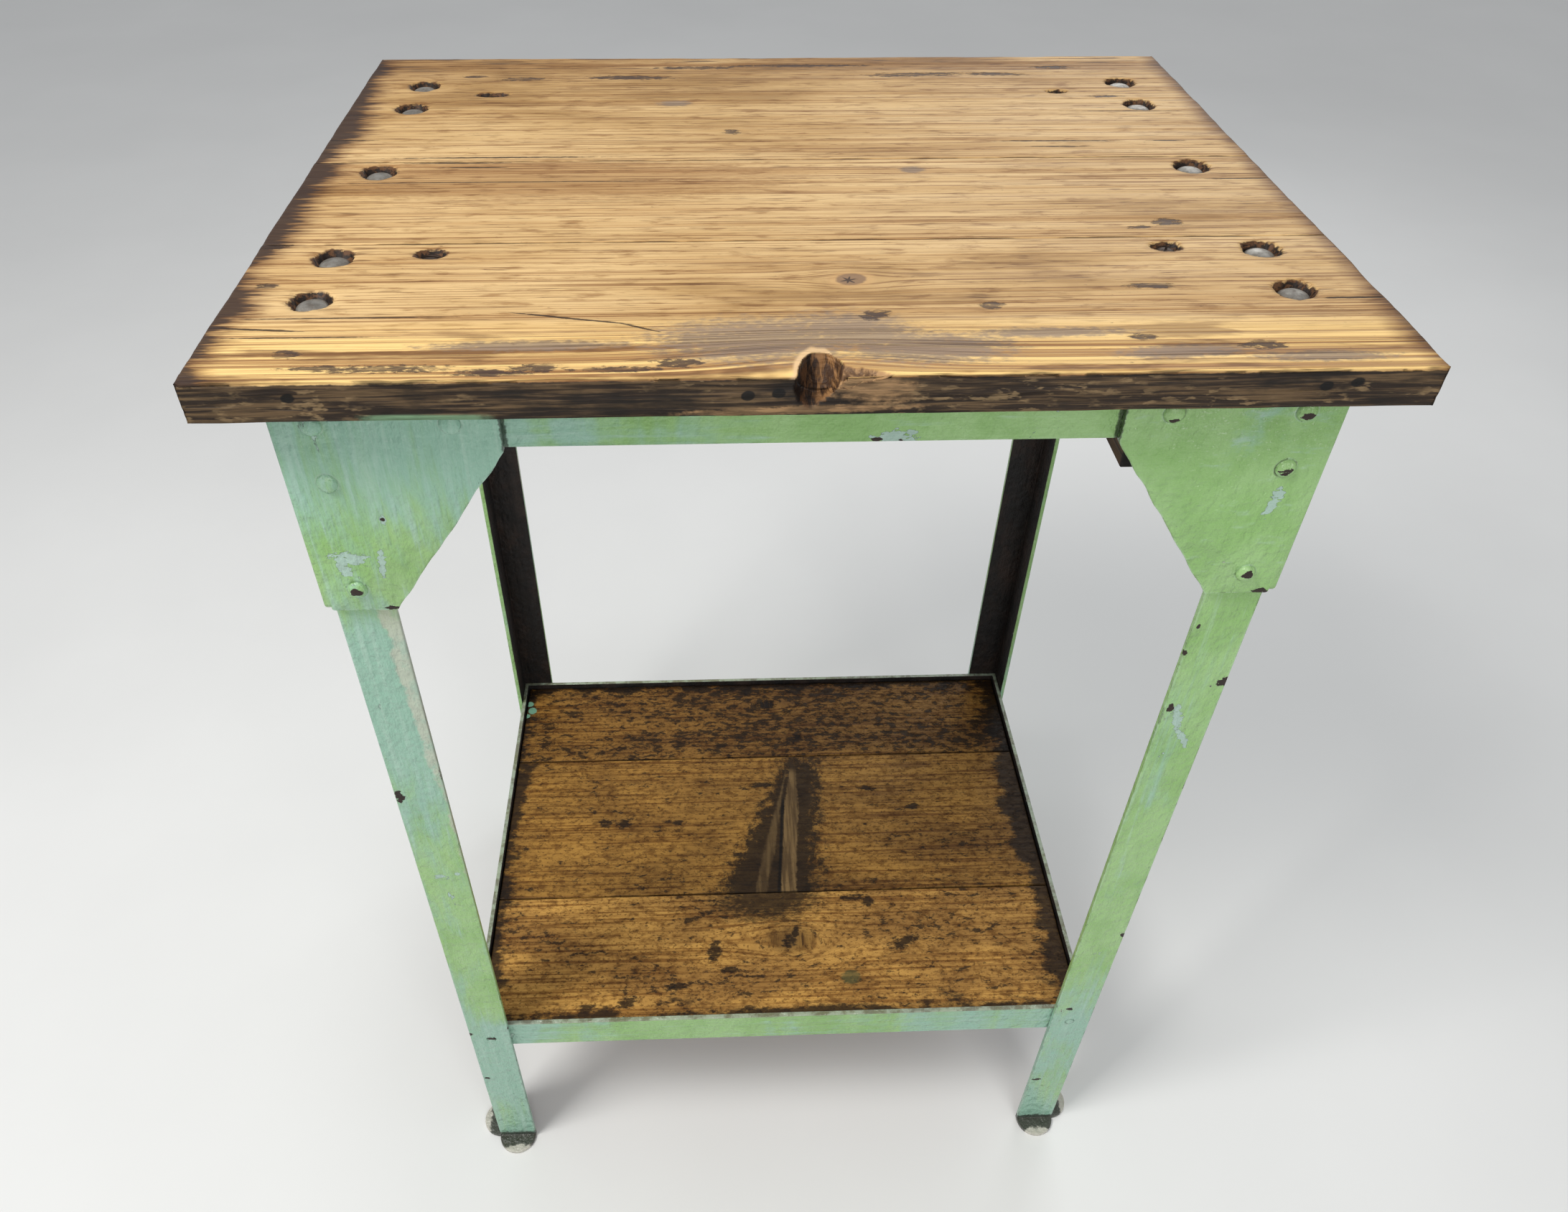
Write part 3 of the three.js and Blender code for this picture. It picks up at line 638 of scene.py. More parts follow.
def shelf_wood(board_name, seed):
    """Darker oiled softwood, speckled with black dirt that thickens along the frame."""
    shader = Shader(board_name + "_wood")
    grain = shader.shifted(knot_bend(shader, [(0.011, -0.136, 0.018, 0.020), (0.003, 0.171, 0.014, 0.014)]))
    line = shader.noise((7, 330, 300), 4.0, 0.62, (seed, 0, 0), grain)
    cloud = shader.noise((8.0, 20, 20), 5.0, 0.65, (seed * 2, 0, 0), grain)
    mottle = shader.noise((95, 170, 120), 5.0, 0.68, (seed + 5, 0, 0), grain)
    grit = shader.noise((330, 460, 300), 3.0, 0.6, (seed + 6, 0, 0), grain)
    specks = shader.noise((75, 150, 120), 5.0, 0.70, (seed + 3, 0, 0), grain)

    base = shader.mix(shader.ramp(cloud, 0.34, 0.66), *SHELF_TONES[board_name])
    base = shader.darken(base, shader.ramp(line, 0.46, 0.64, 0.0, 0.66), (136, 98, 52))
    base = shader.darken(base, shader.ramp(mottle, 0.44, 0.66, 0.0, 0.66), (122, 88, 48))
    base = shader.darken(base, shader.ramp(grit, 0.54, 0.66, 0.0, 0.60), (84, 58, 34))
    heavy = specks + (cloud - 0.5) * 0.40
    if "back" in board_name:
        heavy = heavy + 0.085
    black = shader.ramp(heavy, 0.585, 0.66)
    base = shader.mix(black * 0.84, base, (34, 25, 16))

    side_gap = SHELF_X - abs(shader.x)
    side_gap = side_gap - shader.ramp(shader.x, 0.0, SHELF_X, 0.0, 0.010)
    front_gap = shader.y - SHELF_FRONT + 0.004
    back_gap = SHELF_BACK - shader.y + 0.002
    gap = shader.math("MINIMUM", side_gap, shader.math("MINIMUM", front_gap, back_gap))
    band_noise = shader.noise((26, 50, 30), 5.0, 0.68, offset=(seed + 13, 0, 0))
    gap = gap + (band_noise - 0.5) * -0.085
    band = shader.ramp(gap, 0.004, 0.016, 1.0, 0.0)
    base = shader.mix(band * 0.90, base, (29, 21, 15))

    feather = shader.noise((120, 130, 90), 6.0, 0.75, offset=(seed, 8.0, 0))
    feather = (feather - 0.5) * 0.085
    base = shelf_stain(shader, base, board_name, feather)
    spots = shader.marks(SHELF_SPOTS, 5.0, 0.6, board_name)
    base = shader.mix(spots * 0.88, base, (22, 15, 11))
    base = shader.mix(joint_seam(shader, board_name, seed) * 0.6, base, (22, 16, 11))
    if "back" in board_name:
        base = shader.darken(base, 0.50, (156, 142, 128))
    blobs = shader.marks([
        (-0.266, 0.179, 0.0042, 0.0036, 0.0),
        (-0.262, 0.169, 0.0046, 0.0050, 0.2),
        (-0.267, 0.161, 0.0030, 0.0032, 0.0),
    ], 0.8, 0.25, board_name)
    base = shader.mix(blobs, base, (104, 146, 122))
    moss = shader.mark((0.065, -0.1755), (0.0085, 0.0070), ragged=2.0, soft=0.5)
    base = shader.mix(moss * 0.7, base, (66, 74, 46))

    height = line * -0.7 + grit * -0.5
    height = height - black * 0.6
    height = height - spots * 1.0
    normal = shader.bump(height, 0.0006, 0.8)
    return shader.finish(base, shader.ramp(mottle, 0.3, 0.7, 0.42, 0.62), normal, specular=0.16)


def bearer_wood():
    shader = Shader("bearer_wood")
    fibre = shader.noise((320, 12, 320), 5.0, 0.6)
    cloud = shader.noise((18, 6, 18), 4.0, 0.6)
    base = shader.mix(shader.ramp(fibre, 0.35, 0.7), (112, 84, 50), (62, 44, 28))
    base = shader.darken(base, shader.ramp(cloud, 0.4, 0.7, 0.0, 0.6), (90, 74, 62))
    front = BOXES["top_bearer_left"][0].y
    end_grain = shader.ramp(shader.y, front + 0.003, front)
    base = shader.mix(end_grain, base, (34, 30, 29))
    return shader.finish(base, shader.ramp(cloud, 0.3, 0.7, 0.7, 0.85), shader.bump(fibre, 0.0006, 0.8))


def paint_depth(shader):
    """How far a point is behind the frame's nearest outer plane."""
    to_side = FRAME_X - abs(shader.x)
    middle_y = (FRAME_FRONT + FRAME_BACK) / 2
    from_middle = abs(shader.y - middle_y)
    to_face = (FRAME_BACK - FRAME_FRONT) / 2 - from_middle
    return shader.math("MINIMUM", to_side, to_face)


def bare_inner_steel(shader):
    """Unpainted, sooty steel with a few pale flecks."""
    soot = shader.noise((46, 46, 30), 5.0, 0.65, offset=(4, 4, 4))
    bare = shader.mix(shader.ramp(soot, 0.38, 0.7), (12, 9, 8), (44, 31, 24))
    fleck = shader.ramp(shader.noise((120, 120, 60), 2.0, 0.5, offset=(9, 9, 1)), 0.75, 0.77)
    return shader.mix(fleck, bare, (136, 142, 132))


def leg_wear(shader, base, noise):
    """A worn cream strip down the inner edge of the left legs, wide at the gusset and thin below."""
    inner_edge = FRAME_X - FLANGE
    from_edge = shader.x * -1.0 - inner_edge
    from_edge = from_edge + (noise - 0.5) * 0.022
    width = shader.ramp(shader.z, 0.42, 0.69, 0.001, 0.010)
    strip = shader.ramp(width - from_edge, 0.0, 0.004)
    strip = strip * shader.ramp(noise, 0.62, 0.45, 0.5, 1.0)
    strip = strip * shader.ramp(shader.z, 0.34, 0.50)
    strip = strip * shader.ramp(shader.x, 0.0, -0.01)
    return shader.mix(strip * 0.72, base, (184, 184, 166))


def foot_wear(shader, base, noise):
    """Scuffed cream and dark steel on the floor tabs, with a dark line just above them."""
    outward = paint_depth(shader) * -1.0
    outward = outward + (noise - 0.5) * 0.016
    scuff = shader.mix(shader.ramp(outward, 0.0100, 0.0126), (58, 50, 44), (196, 190, 178))
    tab = shader.ramp(shader.z, STEEL + 0.0014, STEEL + 0.0004)
    base = shader.mix(tab * 0.92, base, scuff)
    height = shader.z + (noise - 0.5) * 0.016
    worn = shader.ramp(height, STEEL + 0.0055, STEEL + 0.0040) * shader.ramp(shader.z, STEEL, STEEL + 0.0008)
    return shader.mix(worn * 0.85, base, (44, 37, 33))


def frame_paint(name, mint_shift, brush_scale, inner_depth=None, worn_top=None,
                chips=(), flakes=(), feet=False, joined=False):
    """Thick brushed green gloss over mint and pale older coats, chipped to dark steel. mint_shift is a
    function that gives, for a shader, how much more mint than green a place has. Steel deeper in the
    frame than inner_depth is bare. A worn_top is the height of an edge rubbed to metal. feet adds the
    legs' wear, and joined leaves the corner where two gusset plates meet unworn."""
    shader = Shader(name)
    brush = shader.noise(brush_scale, 4.0, 0.6)
    lumps = shader.noise((170, 170, 130), 3.0, 0.55, offset=(2, 2, 2))
    drift = shader.noise((15, 15, 6.5), 4.0, 0.6, warp=0.7)
    mint = drift + mint_shift(shader)
    mint = mint + (brush - 0.5) * 0.34
    mint = shader.ramp(mint, 0.40, 0.68)
    tone = shader.noise((26, 26, 18), 4.0, 0.6, offset=(6, 1, 1))
    green = shader.mix(shader.ramp(tone, 0.34, 0.66), (134, 175, 104), (150, 187, 124))
    base = shader.mix(mint * 0.94, green, (140, 179, 161))
    pale = shader.ramp(brush + mint * 0.10, 0.58, 0.80, 0.0, 0.40)
    base = shader.mix(pale, base, (174, 200, 184))
    grey = shader.ramp(brush + tone * 0.4, 0.62, 0.42, 0.0, 0.14)
    base = shader.darken(base, grey, (150, 170, 150))

    corner = shader.edge(0.0030, 0.02, 0.25)
    if joined:
        from_seam = abs(abs(shader.x) - FRAME_X)
        corner = corner * shader.ramp(from_seam, 0.0018, 0.0034)
    # Pale rim along the corners: partly worn paint, partly a painted highlight on the rounded edges.
    rim_noise = shader.noise((90, 90, 50), 4.0, 0.62, offset=(3, 1, 2))
    rim = corner * shader.ramp(rim_noise, 0.36, 0.56)
    base = shader.mix(rim * 0.60, base, (178, 198, 184))
    rim_line = corner * shader.ramp(rim_noise, 0.50, 0.40)
    base = shader.darken(base, rim_line * 0.60, (104, 112, 92))

    on_face = shader.ramp(shader.y, FRAME_FRONT + 0.0030, FRAME_FRONT + 0.0015)
    flake_noise = shader.noise((36, 36, 24), 5.0, 0.62, offset=(8, 2, 5), warp=0.5)
    flake_level = shader.ramp(flake_noise, 0.675, 0.69)
    for place, radii, turn in flakes:
        lifted = on_face * shader.mark(place, radii, turn, ragged=6.0, soft=0.10, axes="xz")
        flake_level = shader.math("MAXIMUM", flake_level, lifted)
    flake_edge = flake_level * (1.0 - flake_level)
    base = shader.mix(flake_level, base, (160, 186, 172))
    base = shader.darken(base, shader.ramp(flake_edge, 0.05, 0.22, 0.0, 0.55), (90, 100, 80))

    chip_noise = shader.noise((75, 75, 60), 4.0, 0.6, offset=(1, 7, 3))
    chip_level = chip_noise + corner * 0.150
    for place, radii in chips:
        hit = shader.mark(place, radii, ragged=5.0, soft=0.6, axes="xz")
        chip_level = chip_level + hit * on_face * 0.35
    chip_edge = shader.ramp(chip_level, 0.722, 0.730)
    chip = shader.ramp(chip_level, 0.738, 0.744)
    base = shader.mix(chip_edge * 0.8, base, (178, 190, 168))
    base = shader.mix(chip, base, shader.mix(rim_noise, (22, 16, 13), (54, 36, 26)))

    height = brush * 0.8 + lumps * 2.4
    height = height - chip_edge * 0.6
    height = height - flake_level * 0.3
    rough = shader.ramp(brush, 0.3, 0.7, 0.22, 0.38) + chip * 0.4

    if feet:
        base = leg_wear(shader, base, rim_noise)
        base = foot_wear(shader, base, rim_noise)
    if worn_top is not None:
        top = shader.ramp(shader.z, worn_top - 0.0012, worn_top - 0.0004)
        metal = shader.mix(shader.ramp(rim_noise, 0.40, 0.60), (158, 166, 146), (112, 104, 86))
        base = shader.mix(top * 0.85, base, metal)
    else:
        # Painted shade, with some grime in the crevice: a dark ragged line along the gusset's inner edge, on
        # the gusset and the top rail, from just below the rail's foot upward, where the plate steps onto the
        # rail.
        seam = abs(shader.x) + shader.ragged_noise() * 0.0035
        seam = abs(seam - (FRAME_X - GUSSET_TOP))
        rail_foot = UNDERSIDE_Z - FLANGE
        beside_rail = shader.ramp(shader.z, rail_foot - 4 * MM, rail_foot - MM)
        seam = shader.ramp(seam, 0.0007, 0.0018, 1.0, 0.0) * beside_rail
        base = shader.mix(seam * 0.8, base, (30, 38, 24))
    if inner_depth is not None:
        inside = shader.ramp(paint_depth(shader), inner_depth - 0.0004, inner_depth - 0.0001)
        base = shader.mix(inside, base, bare_inner_steel(shader))
        rough = rough + inside * 0.36
    return shader.finish(base, rough, shader.bump(height, 0.0010, 1.0))


def leg_mint(shader):
    """Left legs are mint in their upper part and near the foot, right legs only near the foot."""
    upper = shader.ramp(shader.z, 0.715, 0.660) * shader.ramp(shader.z, 0.535, 0.610)
    left = shader.math("MAXIMUM", upper, shader.ramp(shader.z, 0.26, 0.10, 0.0, 1.9))
    right = shader.ramp(shader.z, 0.40, 0.18, -0.60, 0.9)
    side = shader.ramp(shader.x, -0.1, 0.1)
    level = left * (1.0 - side) + right * side
    return level * 0.18 + -0.05


def gusset_left_mint(shader):
    """Mint above, turning green towards the foot."""
    return shader.ramp(shader.z, 0.715, 0.845, -0.035, 0.19)


def gusset_right_mint(shader):
    """Green, a little paler up at the outer corner."""
    return -0.17 + shader.mark((0.262, 0.836), (0.034, 0.026), soft=0.95, axes="xz") * 0.15


def rail_mint(shader):
    return shader.ramp(shader.x, 0.10, -0.17, -0.18, 0.02)


def shelf_rail_mint(shader):
    """Mint at both ends of the rail and green along its middle."""
    return shader.ramp(abs(shader.x + 0.06), 0.08, 0.20, -0.10, 0.12)


def worn_steel(name, light, dark, rough, rust_amount):
    shader = Shader(name)
    cloud = shader.noise((110, 110, 110), 4.0, 0.6)
    scratch = shader.noise((900, 260, 260), 2.0, 0.6, warp=0.4)
    base = shader.mix(shader.ramp(cloud, 0.3, 0.7), light, dark)
    base = shader.mix(shader.ramp(scratch, 0.62, 0.75, 0.0, 0.35), base, (150, 148, 144))
    rust = shader.ramp(shader.noise((210, 210, 210), 4.0, 0.65, offset=(5, 5, 5)), 0.5, 0.68)
    base = shader.mix(rust * rust_amount, base, (74, 44, 28))
    finish_rough = shader.ramp(cloud, 0.3, 0.7, rough, rough + 0.15) + rust * (rust_amount * 0.3)
    metallic = shader.ramp(rust, 0.0, 1.0, 0.85, 0.85 - rust_amount * 0.6)
    return shader.finish(base, finish_rough, shader.bump(cloud, 0.0004, 0.5), metallic)


# ---------------------------------------------------------------- geometry helpers

def lattice_noise(u, v, seed):
    """Smooth noise from -1 to 1 over a plane, the same each run."""
    table = np.random.default_rng(seed).uniform(-1, 1, (128, 128))
    cell_u, cell_v = np.floor(u).astype(int), np.floor(v).astype(int)
    part_u, part_v = u - cell_u, v - cell_v
    part_u = part_u * part_u * (3 - 2 * part_u)
    part_v = part_v * part_v * (3 - 2 * part_v)

    def at(du, dv):
        return table[(cell_u + du) % 128, (cell_v + dv) % 128]

    low = at(0, 0) * (1 - part_u) + at(1, 0) * part_u
    high = at(0, 1) * (1 - part_u) + at(1, 1) * part_u
    return low * (1 - part_v) + high * part_v


def rough_noise(u, v, seed, octaves=3):
    """Several sizes of lattice noise added up, mostly within -1 to 1."""
    total = np.zeros(np.broadcast(u, v).shape)
    for octave in range(octaves):
        total += lattice_noise(u * 2 ** octave, v * 2 ** octave, seed + octave) / 2 ** octave
    return total / 1.75


def graded(low, high, step, fine=None, margin=(0.0006, 0.0014, 0.0026)):
    """Positions from low to high, an even step apart, with finer ones close to both ends. Between the two
    positions of fine they are a third of a step apart."""
    inner_low, inner_high = low + margin[-1], high - margin[-1]
    count = max(2, round((inner_high - inner_low) / step))
    inner = np.linspace(inner_low, inner_high, count + 1)
    head = [low] + [low + offset for offset in margin[:-1]]
    tail = [high - offset for offset in reversed(margin[:-1])] + [high]
    if fine is not None:
        pairs = zip(inner, inner[1:])
        within = [(a, b) for a, b in pairs if fine[0] < (a + b) / 2 < fine[1]]
        extra = [a + (b - a) * part / 3 for a, b in within for part in (1, 2)]
        inner = np.sort(np.concatenate([inner, extra]))
    return np.concatenate([head, inner, tail])


def add_piece(name, mesh, material, replaced, smooth=True):
    """Links a finished piece, rides it on the frame and hides the CAD nodes it stands for."""
    piece = link_object(name, mesh)
    mesh.materials.clear()
    mesh.materials.append(material)
    if smooth:
        mesh.polygons.foreach_set("use_smooth", [True] * len(mesh.polygons))
    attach(piece, "root")
    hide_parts(*replaced)
    return piece


# ---------------------------------------------------------------- planks

def slab(xs, ys, low_z, high_z, rows):
    """A closed slab: a fine grid on top, side walls with a few rows, and one flat face below.
    Returns its points, its faces and how many of the points belong to the top."""
    nx, ny = len(xs), len(ys)
    grid_x, grid_y = np.meshgrid(xs, ys, indexing="ij")
    top = np.stack([grid_x.ravel(), grid_y.ravel(), np.full(nx * ny, high_z)], axis=1)

    def at(i, j):
        return i * ny + j

    faces = [
        (at(i, j), at(i + 1, j), at(i + 1, j + 1), at(i, j + 1))
        for i in range(nx - 1) for j in range(ny - 1)
    ]
    ring = [at(i, 0) for i in range(nx)]
    ring += [at(nx - 1, j) for j in range(1, ny)]
    ring += [at(i, ny - 1) for i in range(nx - 2, -1, -1)]
    ring += [at(0, j) for j in range(ny - 2, 0, -1)]
    points = [top]
    above = ring
    start = len(top)
    for z in np.linspace(high_z, low_z, rows + 1)[1:]:
        level = top[ring].copy()
        level[:, 2] = z
        points.append(level)
        below = list(range(start, start + len(ring)))
        for k in range(len(ring)):
            after = (k + 1) % len(ring)
            faces.append((above[k], below[k], below[after], above[after]))
        above = below
        start += len(ring)
    faces.append(tuple(reversed(above)))
    return np.concatenate(points), faces, len(top)


def round_top_edge(points, top_z, radius, seed, sides):
    """Rounds the upper edges, more in some places than others."""
    for axis, value, sign in sides:
        other = points[:, 1 - axis]
        away = sign * (value - points[:, axis])
        vary = radius * (1 + 0.7 * rough_noise(other * 38, other * 0, seed + axis * 7 + (sign > 0)))
        inside = (away < vary) & (points[:, 2] > top_z - 1e-6)
        lack = np.clip(vary - away, 0, vary)
        drop = vary - np.sqrt(np.maximum(vary ** 2 - lack ** 2, 0))
        points[inside, 2] -= drop[inside]


def wear_side(points, axis, value, sign, depth, seed, along_scale, up_scale):
    """Moves the points of one side wall inward by a ragged amount."""
    near = np.abs(points[:, axis] - value) < 1e-6
    other = points[near, 1 - axis]
    ragged = 0.5 + 0.5 * rough_noise(other * along_scale, points[near, 2] * up_scale, seed)
    points[near, axis] -= sign * depth * np.clip(ragged, 0, 1)


def sink(points, count, centre, recess, seed, stretch):
    """Cuts a ragged round recess in the top grid. Returns how deep in it each point is, from 0 to 1."""
    dx = (points[:count, 0] - centre.x) / stretch[0]
    dy = (points[:count, 1] - centre.y) / stretch[1]
    reach = np.hypot(dx, dy)
    turn = np.arctan2(dy, dx)
    edge = recess["radius"] * (0.96 + 0.09 * lattice_noise(turn * 1.6 + 20, turn * 0 + 3.3, seed))
    edge += 0.0005 * lattice_noise(turn * 7 + 20, turn * 0 + 8.3, seed + 1)
    wall = np.clip((edge + 0.0007 - reach) / 0.0014, 0, 1)
    wall = wall * wall * (3 - 2 * wall)
    lip = 0.0009 * np.exp(-np.maximum(reach - edge, 0) / 0.0018)
    points[:count, 2] -= np.maximum(wall * recess["depth"], lip * (1 - wall))
    return np.maximum(wall, 0.55 * np.exp(-np.maximum(reach - edge, 0) / 0.0011))


def scoop_knot(points, count, knot_y, top_z):
    """Pushes the points inside the worn-out knot down and inward onto its hollow. Returns how much each point
    belongs to the hollow, and to the pale rim that runs round it on top."""
    centre = np.array([0.0005, knot_y - 0.002, top_z + 0.002])
    radii = np.array([0.0125, 0.0245, 0.0205])
    inward = np.array([0.0, 0.66, -0.75]) / radii
    local = (points - centre) / radii
    local[:, 0] -= (points[:, 2] - top_z) * 0.42 / radii[0]
    wobble = 1 + 0.05 * lattice_noise(points[:, 0] * 240, points[:, 2] * 240 + points[:, 1] * 160, 77)
    reach = np.linalg.norm(local, axis=1) / wobble
    inside = reach < 1
    start = local[inside] / wobble[inside, None]
    a, b = inward @ inward, start @ inward
    c = (start * start).sum(axis=1) - 1
    travel = (-b + np.sqrt(b * b - a * c)) / a
    points[inside] += travel[:, None] * inward * radii
    rim = np.where(inside, 0, np.exp(-np.maximum(reach - 1, 0) / 0.22))
    rim *= np.clip((0.009 - points[:, 0]) / 0.006, 0, 1)
    rim[count:] = 0
    return np.clip((1.01 - reach) / 0.04, 0, 1), rim


def tear_edge(points, count, low, high):
    """Tears a wedge out of the front's upper edge, right of the knot. Returns where the torn wood is."""
    width = 0.0125 * np.clip(1 - (points[:, 0] - 0.006) / 0.030, 0, 1) ** 0.8
    width[points[:, 0] < 0.004] = 0
    width *= 1 + 0.25 * lattice_noise(points[:, 0] * 300, points[:, 1] * 200, 41)
    away = points[:, 1] - low[1]
    depth = np.maximum(width - away, 0) * 0.62
    torn = np.clip(depth / 0.0006, 0, 1)
    on_top = np.arange(len(points)) < count
    points[on_top, 2] -= depth[on_top]
    wall = ~on_top & (away < 0.0005)
    share = (high[2] - points[wall, 2]) / (high[2] - low[2])
    points[wall, 2] -= depth[wall] * (1 - share)
    torn[~on_top] = 0
    torn[wall] = np.clip(depth[wall] / 0.002, 0, 1) * np.clip(1.2 - 2.4 * share, 0, 1)
    return torn


def board_piece(name, seed, material, on_top):
    """A plank of the top or the shelf, made fine enough to carry its wear."""
    low, high = (np.array(corner) for corner in BOXES[name])
    has_knot = on_top and "front" in name
    xs = graded(low[0], high[0], 0.0021 if on_top else 0.0035, (-0.018, 0.042) if has_knot else None)
    ys = graded(low[1], high[1], 0.0014 if on_top else 0.0022, (low[1], low[1] + 0.026) if has_knot else None)
    points, faces, count = slab(xs, ys, low[2], high[2], 10 if on_top else 3)
    sides = [(0, low[0], -1), (0, high[0], 1), (1, low[1], -1), (1, high[1], 1)]
    outer = sides[:2] + (sides[2:3] if "front" in name else []) + (sides[3:] if "back" in name else [])
    joints = [side for side in sides if side not in outer]
    round_top_edge(points, high[2], 0.0019 if on_top else 0.0012, seed, outer)
    round_top_edge(points, high[2], 0.0007, seed + 40, joints)

    x, y = points[:count, 0], points[:count, 1]
    grooves = 0.5 + 0.5 * rough_noise(x * 5, y * 230, seed + 3, 2)
    swells = 0.5 + 0.5 * rough_noise(x * 6, y * 16, seed + 5, 3)
    near_front = np.clip((TOP_FRONT + 0.07 - y) / 0.05, 0, 1) if on_top else 0.4
    points[:count, 2] -= 0.0002 + (0.00016 + 0.00045 * near_front) * grooves + 0.0003 * swells
    marks = {key: np.zeros(len(points)) for key in ("pit", "scoop", "rim", "tear")}
    if on_top:
        for axis, value, sign in outer:
            across, up = (230, 90) if axis == 0 else (24, 330)
            wear_side(points, axis, value, sign, 0.0018, seed + axis * 11 + (sign > 0), across, up)
        holes = [(bolt, BOLT_RECESS, 50 + k, (1.0, 1.0)) for k, bolt in enumerate(BOLTS)]
        holes += [(screw, SCREW_RECESS, 90 + k, screw_stretch(screw)) for k, screw in enumerate(SCREWS)]
        for centre, recess, key, stretch in holes:
            if low[1] < centre.y < high[1]:
                pit = sink(points, count, centre, recess, seed + key, stretch)
                marks["pit"][:count] = np.maximum(marks["pit"][:count], pit)
        if has_knot:
            marks["tear"] = tear_edge(points, count, low, high)
            marks["scoop"], marks["rim"] = scoop_knot(points, count, low[1], high[2])
    mesh = bpy.data.meshes.new(name)
    mesh.from_pydata(points.tolist(), [], faces)
    for key, values in marks.items():
        layer = mesh.attributes.new(key, "FLOAT", "POINT")
        layer.data.foreach_set("value", values.astype(np.float32))
    mesh.update()
    return add_piece("worn_" + name, mesh, material, [name])


def screw_stretch(screw):
    """The screws' recesses are long and thin at the back, and rounder at the front."""
    if screw.y < 0:
        return (1.12, 0.80)
    return (1.50, 0.62) if screw.x < 0 else (0.95, 0.50)


def add_planks():
    for seed, part in enumerate(("front", "middle", "back")):
        top = "top_board_" + part
        board_piece(top, 100 + seed * 200, top_wood(top, seed * 3.7 + 1.0), True)
        shelf = "shelf_board_" + part
        board_piece(shelf, 900 + seed * 200, shelf_wood(shelf, seed * 4.3 + 2.0), False)
    wood = bearer_wood()
    for side in ("left", "right"):
        bevelled_copy("top_bearer_" + side, wood, 0.0015)


# ---------------------------------------------------------------- steel

def bevelled_copy(node, material, width):
    """A copy of a CAD node with its flat faces merged and its corners rounded."""
    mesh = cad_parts[node].data.copy()
    work = bmesh.new()
    work.from_mesh(mesh)
    bmesh.ops.remove_doubles(work, verts=work.verts, dist=1e-6)
    bmesh.ops.dissolve_limit(work, angle_limit=math.radians(1), verts=work.verts, edges=work.edges)
    sharp = [
        edge for edge in work.edges
        if len(edge.link_faces) == 2 and edge.calc_face_angle(0) > math.radians(35)
    ]
    bmesh.ops.bevel(
        work, geom=sharp, offset=width, offset_type="OFFSET", segments=2, profile=0.5,
        affect="EDGES", clamp_overlap=True,
    )
    work.to_mesh(mesh)
    work.free()
    mesh.name = "worn_" + node
    add_piece("worn_" + node, mesh, material, [node], smooth=False)


def dome(work, centre, outward, radius, height, segments=28, rings=7):
    """Adds a rivet head to a bmesh: a low dome, closed underneath, with its foot sunk in the plate."""
    turn = Vector((0, 0, 1)).rotation_difference(outward).to_matrix()

    def circle(reach, level):
        angles = [2 * math.pi * k / segments for k in range(segments)]
        return [Vector((reach * math.cos(angle), reach * math.sin(angle), level)) for angle in angles]

    levels = [circle(radius, -0.6 * MM)]
    for ring in range(rings):
        lift = (ring / rings) * math.pi / 2
        levels.append(circle(radius * math.cos(lift) ** 0.9, height * math.sin(lift)))
    loops = [[work.verts.new(centre + turn @ point) for point in level] for level in levels]
    crown = work.verts.new(centre + turn @ Vector((0, 0, height)))
    for lower, upper in zip(loops, loops[1:]):
        for k in range(segments):
            after = (k + 1) % segments
            work.faces.new((lower[k], lower[after], upper[after], upper[k]))
    for k in range(segments):
        work.faces.new((loops[-1][k], loops[-1][(k + 1) % segments], crown))
    work.faces.new(tuple(reversed(loops[0])))


def wavy_line(start, end, count, seed, size):
    """Points from start to end with a hand-cut waver."""
    rng = np.random.default_rng(seed)
    steps = np.linspace(0, 1, count + 1)
    waver = np.convolve(rng.uniform(-1, 1, count + 3), (0.25, 0.5, 0.25), "valid")[:count + 1]
    waver[0] = waver[-1] = 0
    direction = np.subtract(end, start)
    across = np.array((-direction[1], direction[0])) / np.linalg.norm(direction)
    return [tuple(np.add(start, direction * t) + across * w * size) for t, w in zip(steps, waver)]


def gusset_outline(outset, seed):
    """Outline points (along, up) of a gusset: along runs inward from the frame's corner."""
    top, foot, step = UNDERSIDE_Z - 0.0004, UNDERSIDE_Z - GUSSET_DROP, UNDERSIDE_Z - FLANGE
    outer = outset if outset else FACE_REACH
    outline = [(-outer, top), (GUSSET_TOP, top)]
    outline += wavy_line((GUSSET_TOP, top), (GUSSET_TOP - 0.0008, step), 6, seed, 0.0005)[1:]
    outline += wavy_line((GUSSET_TOP - 0.0008, step), (GUSSET_FOOT, foot), 26, seed + 1, 0.0008)[1:]
    corner = 0.005 if outset else 0.0015
    outline += wavy_line((GUSSET_FOOT, foot), (-outer + corner, foot), 6, seed + 2, 0.0003)[1:]
    for k in range(1, 5):
        angle = math.pi / 2 * k / 4
        outline.append((-outer + corner * (1 - math.sin(angle)), foot + corner * (1 - math.cos(angle))))
    return outline


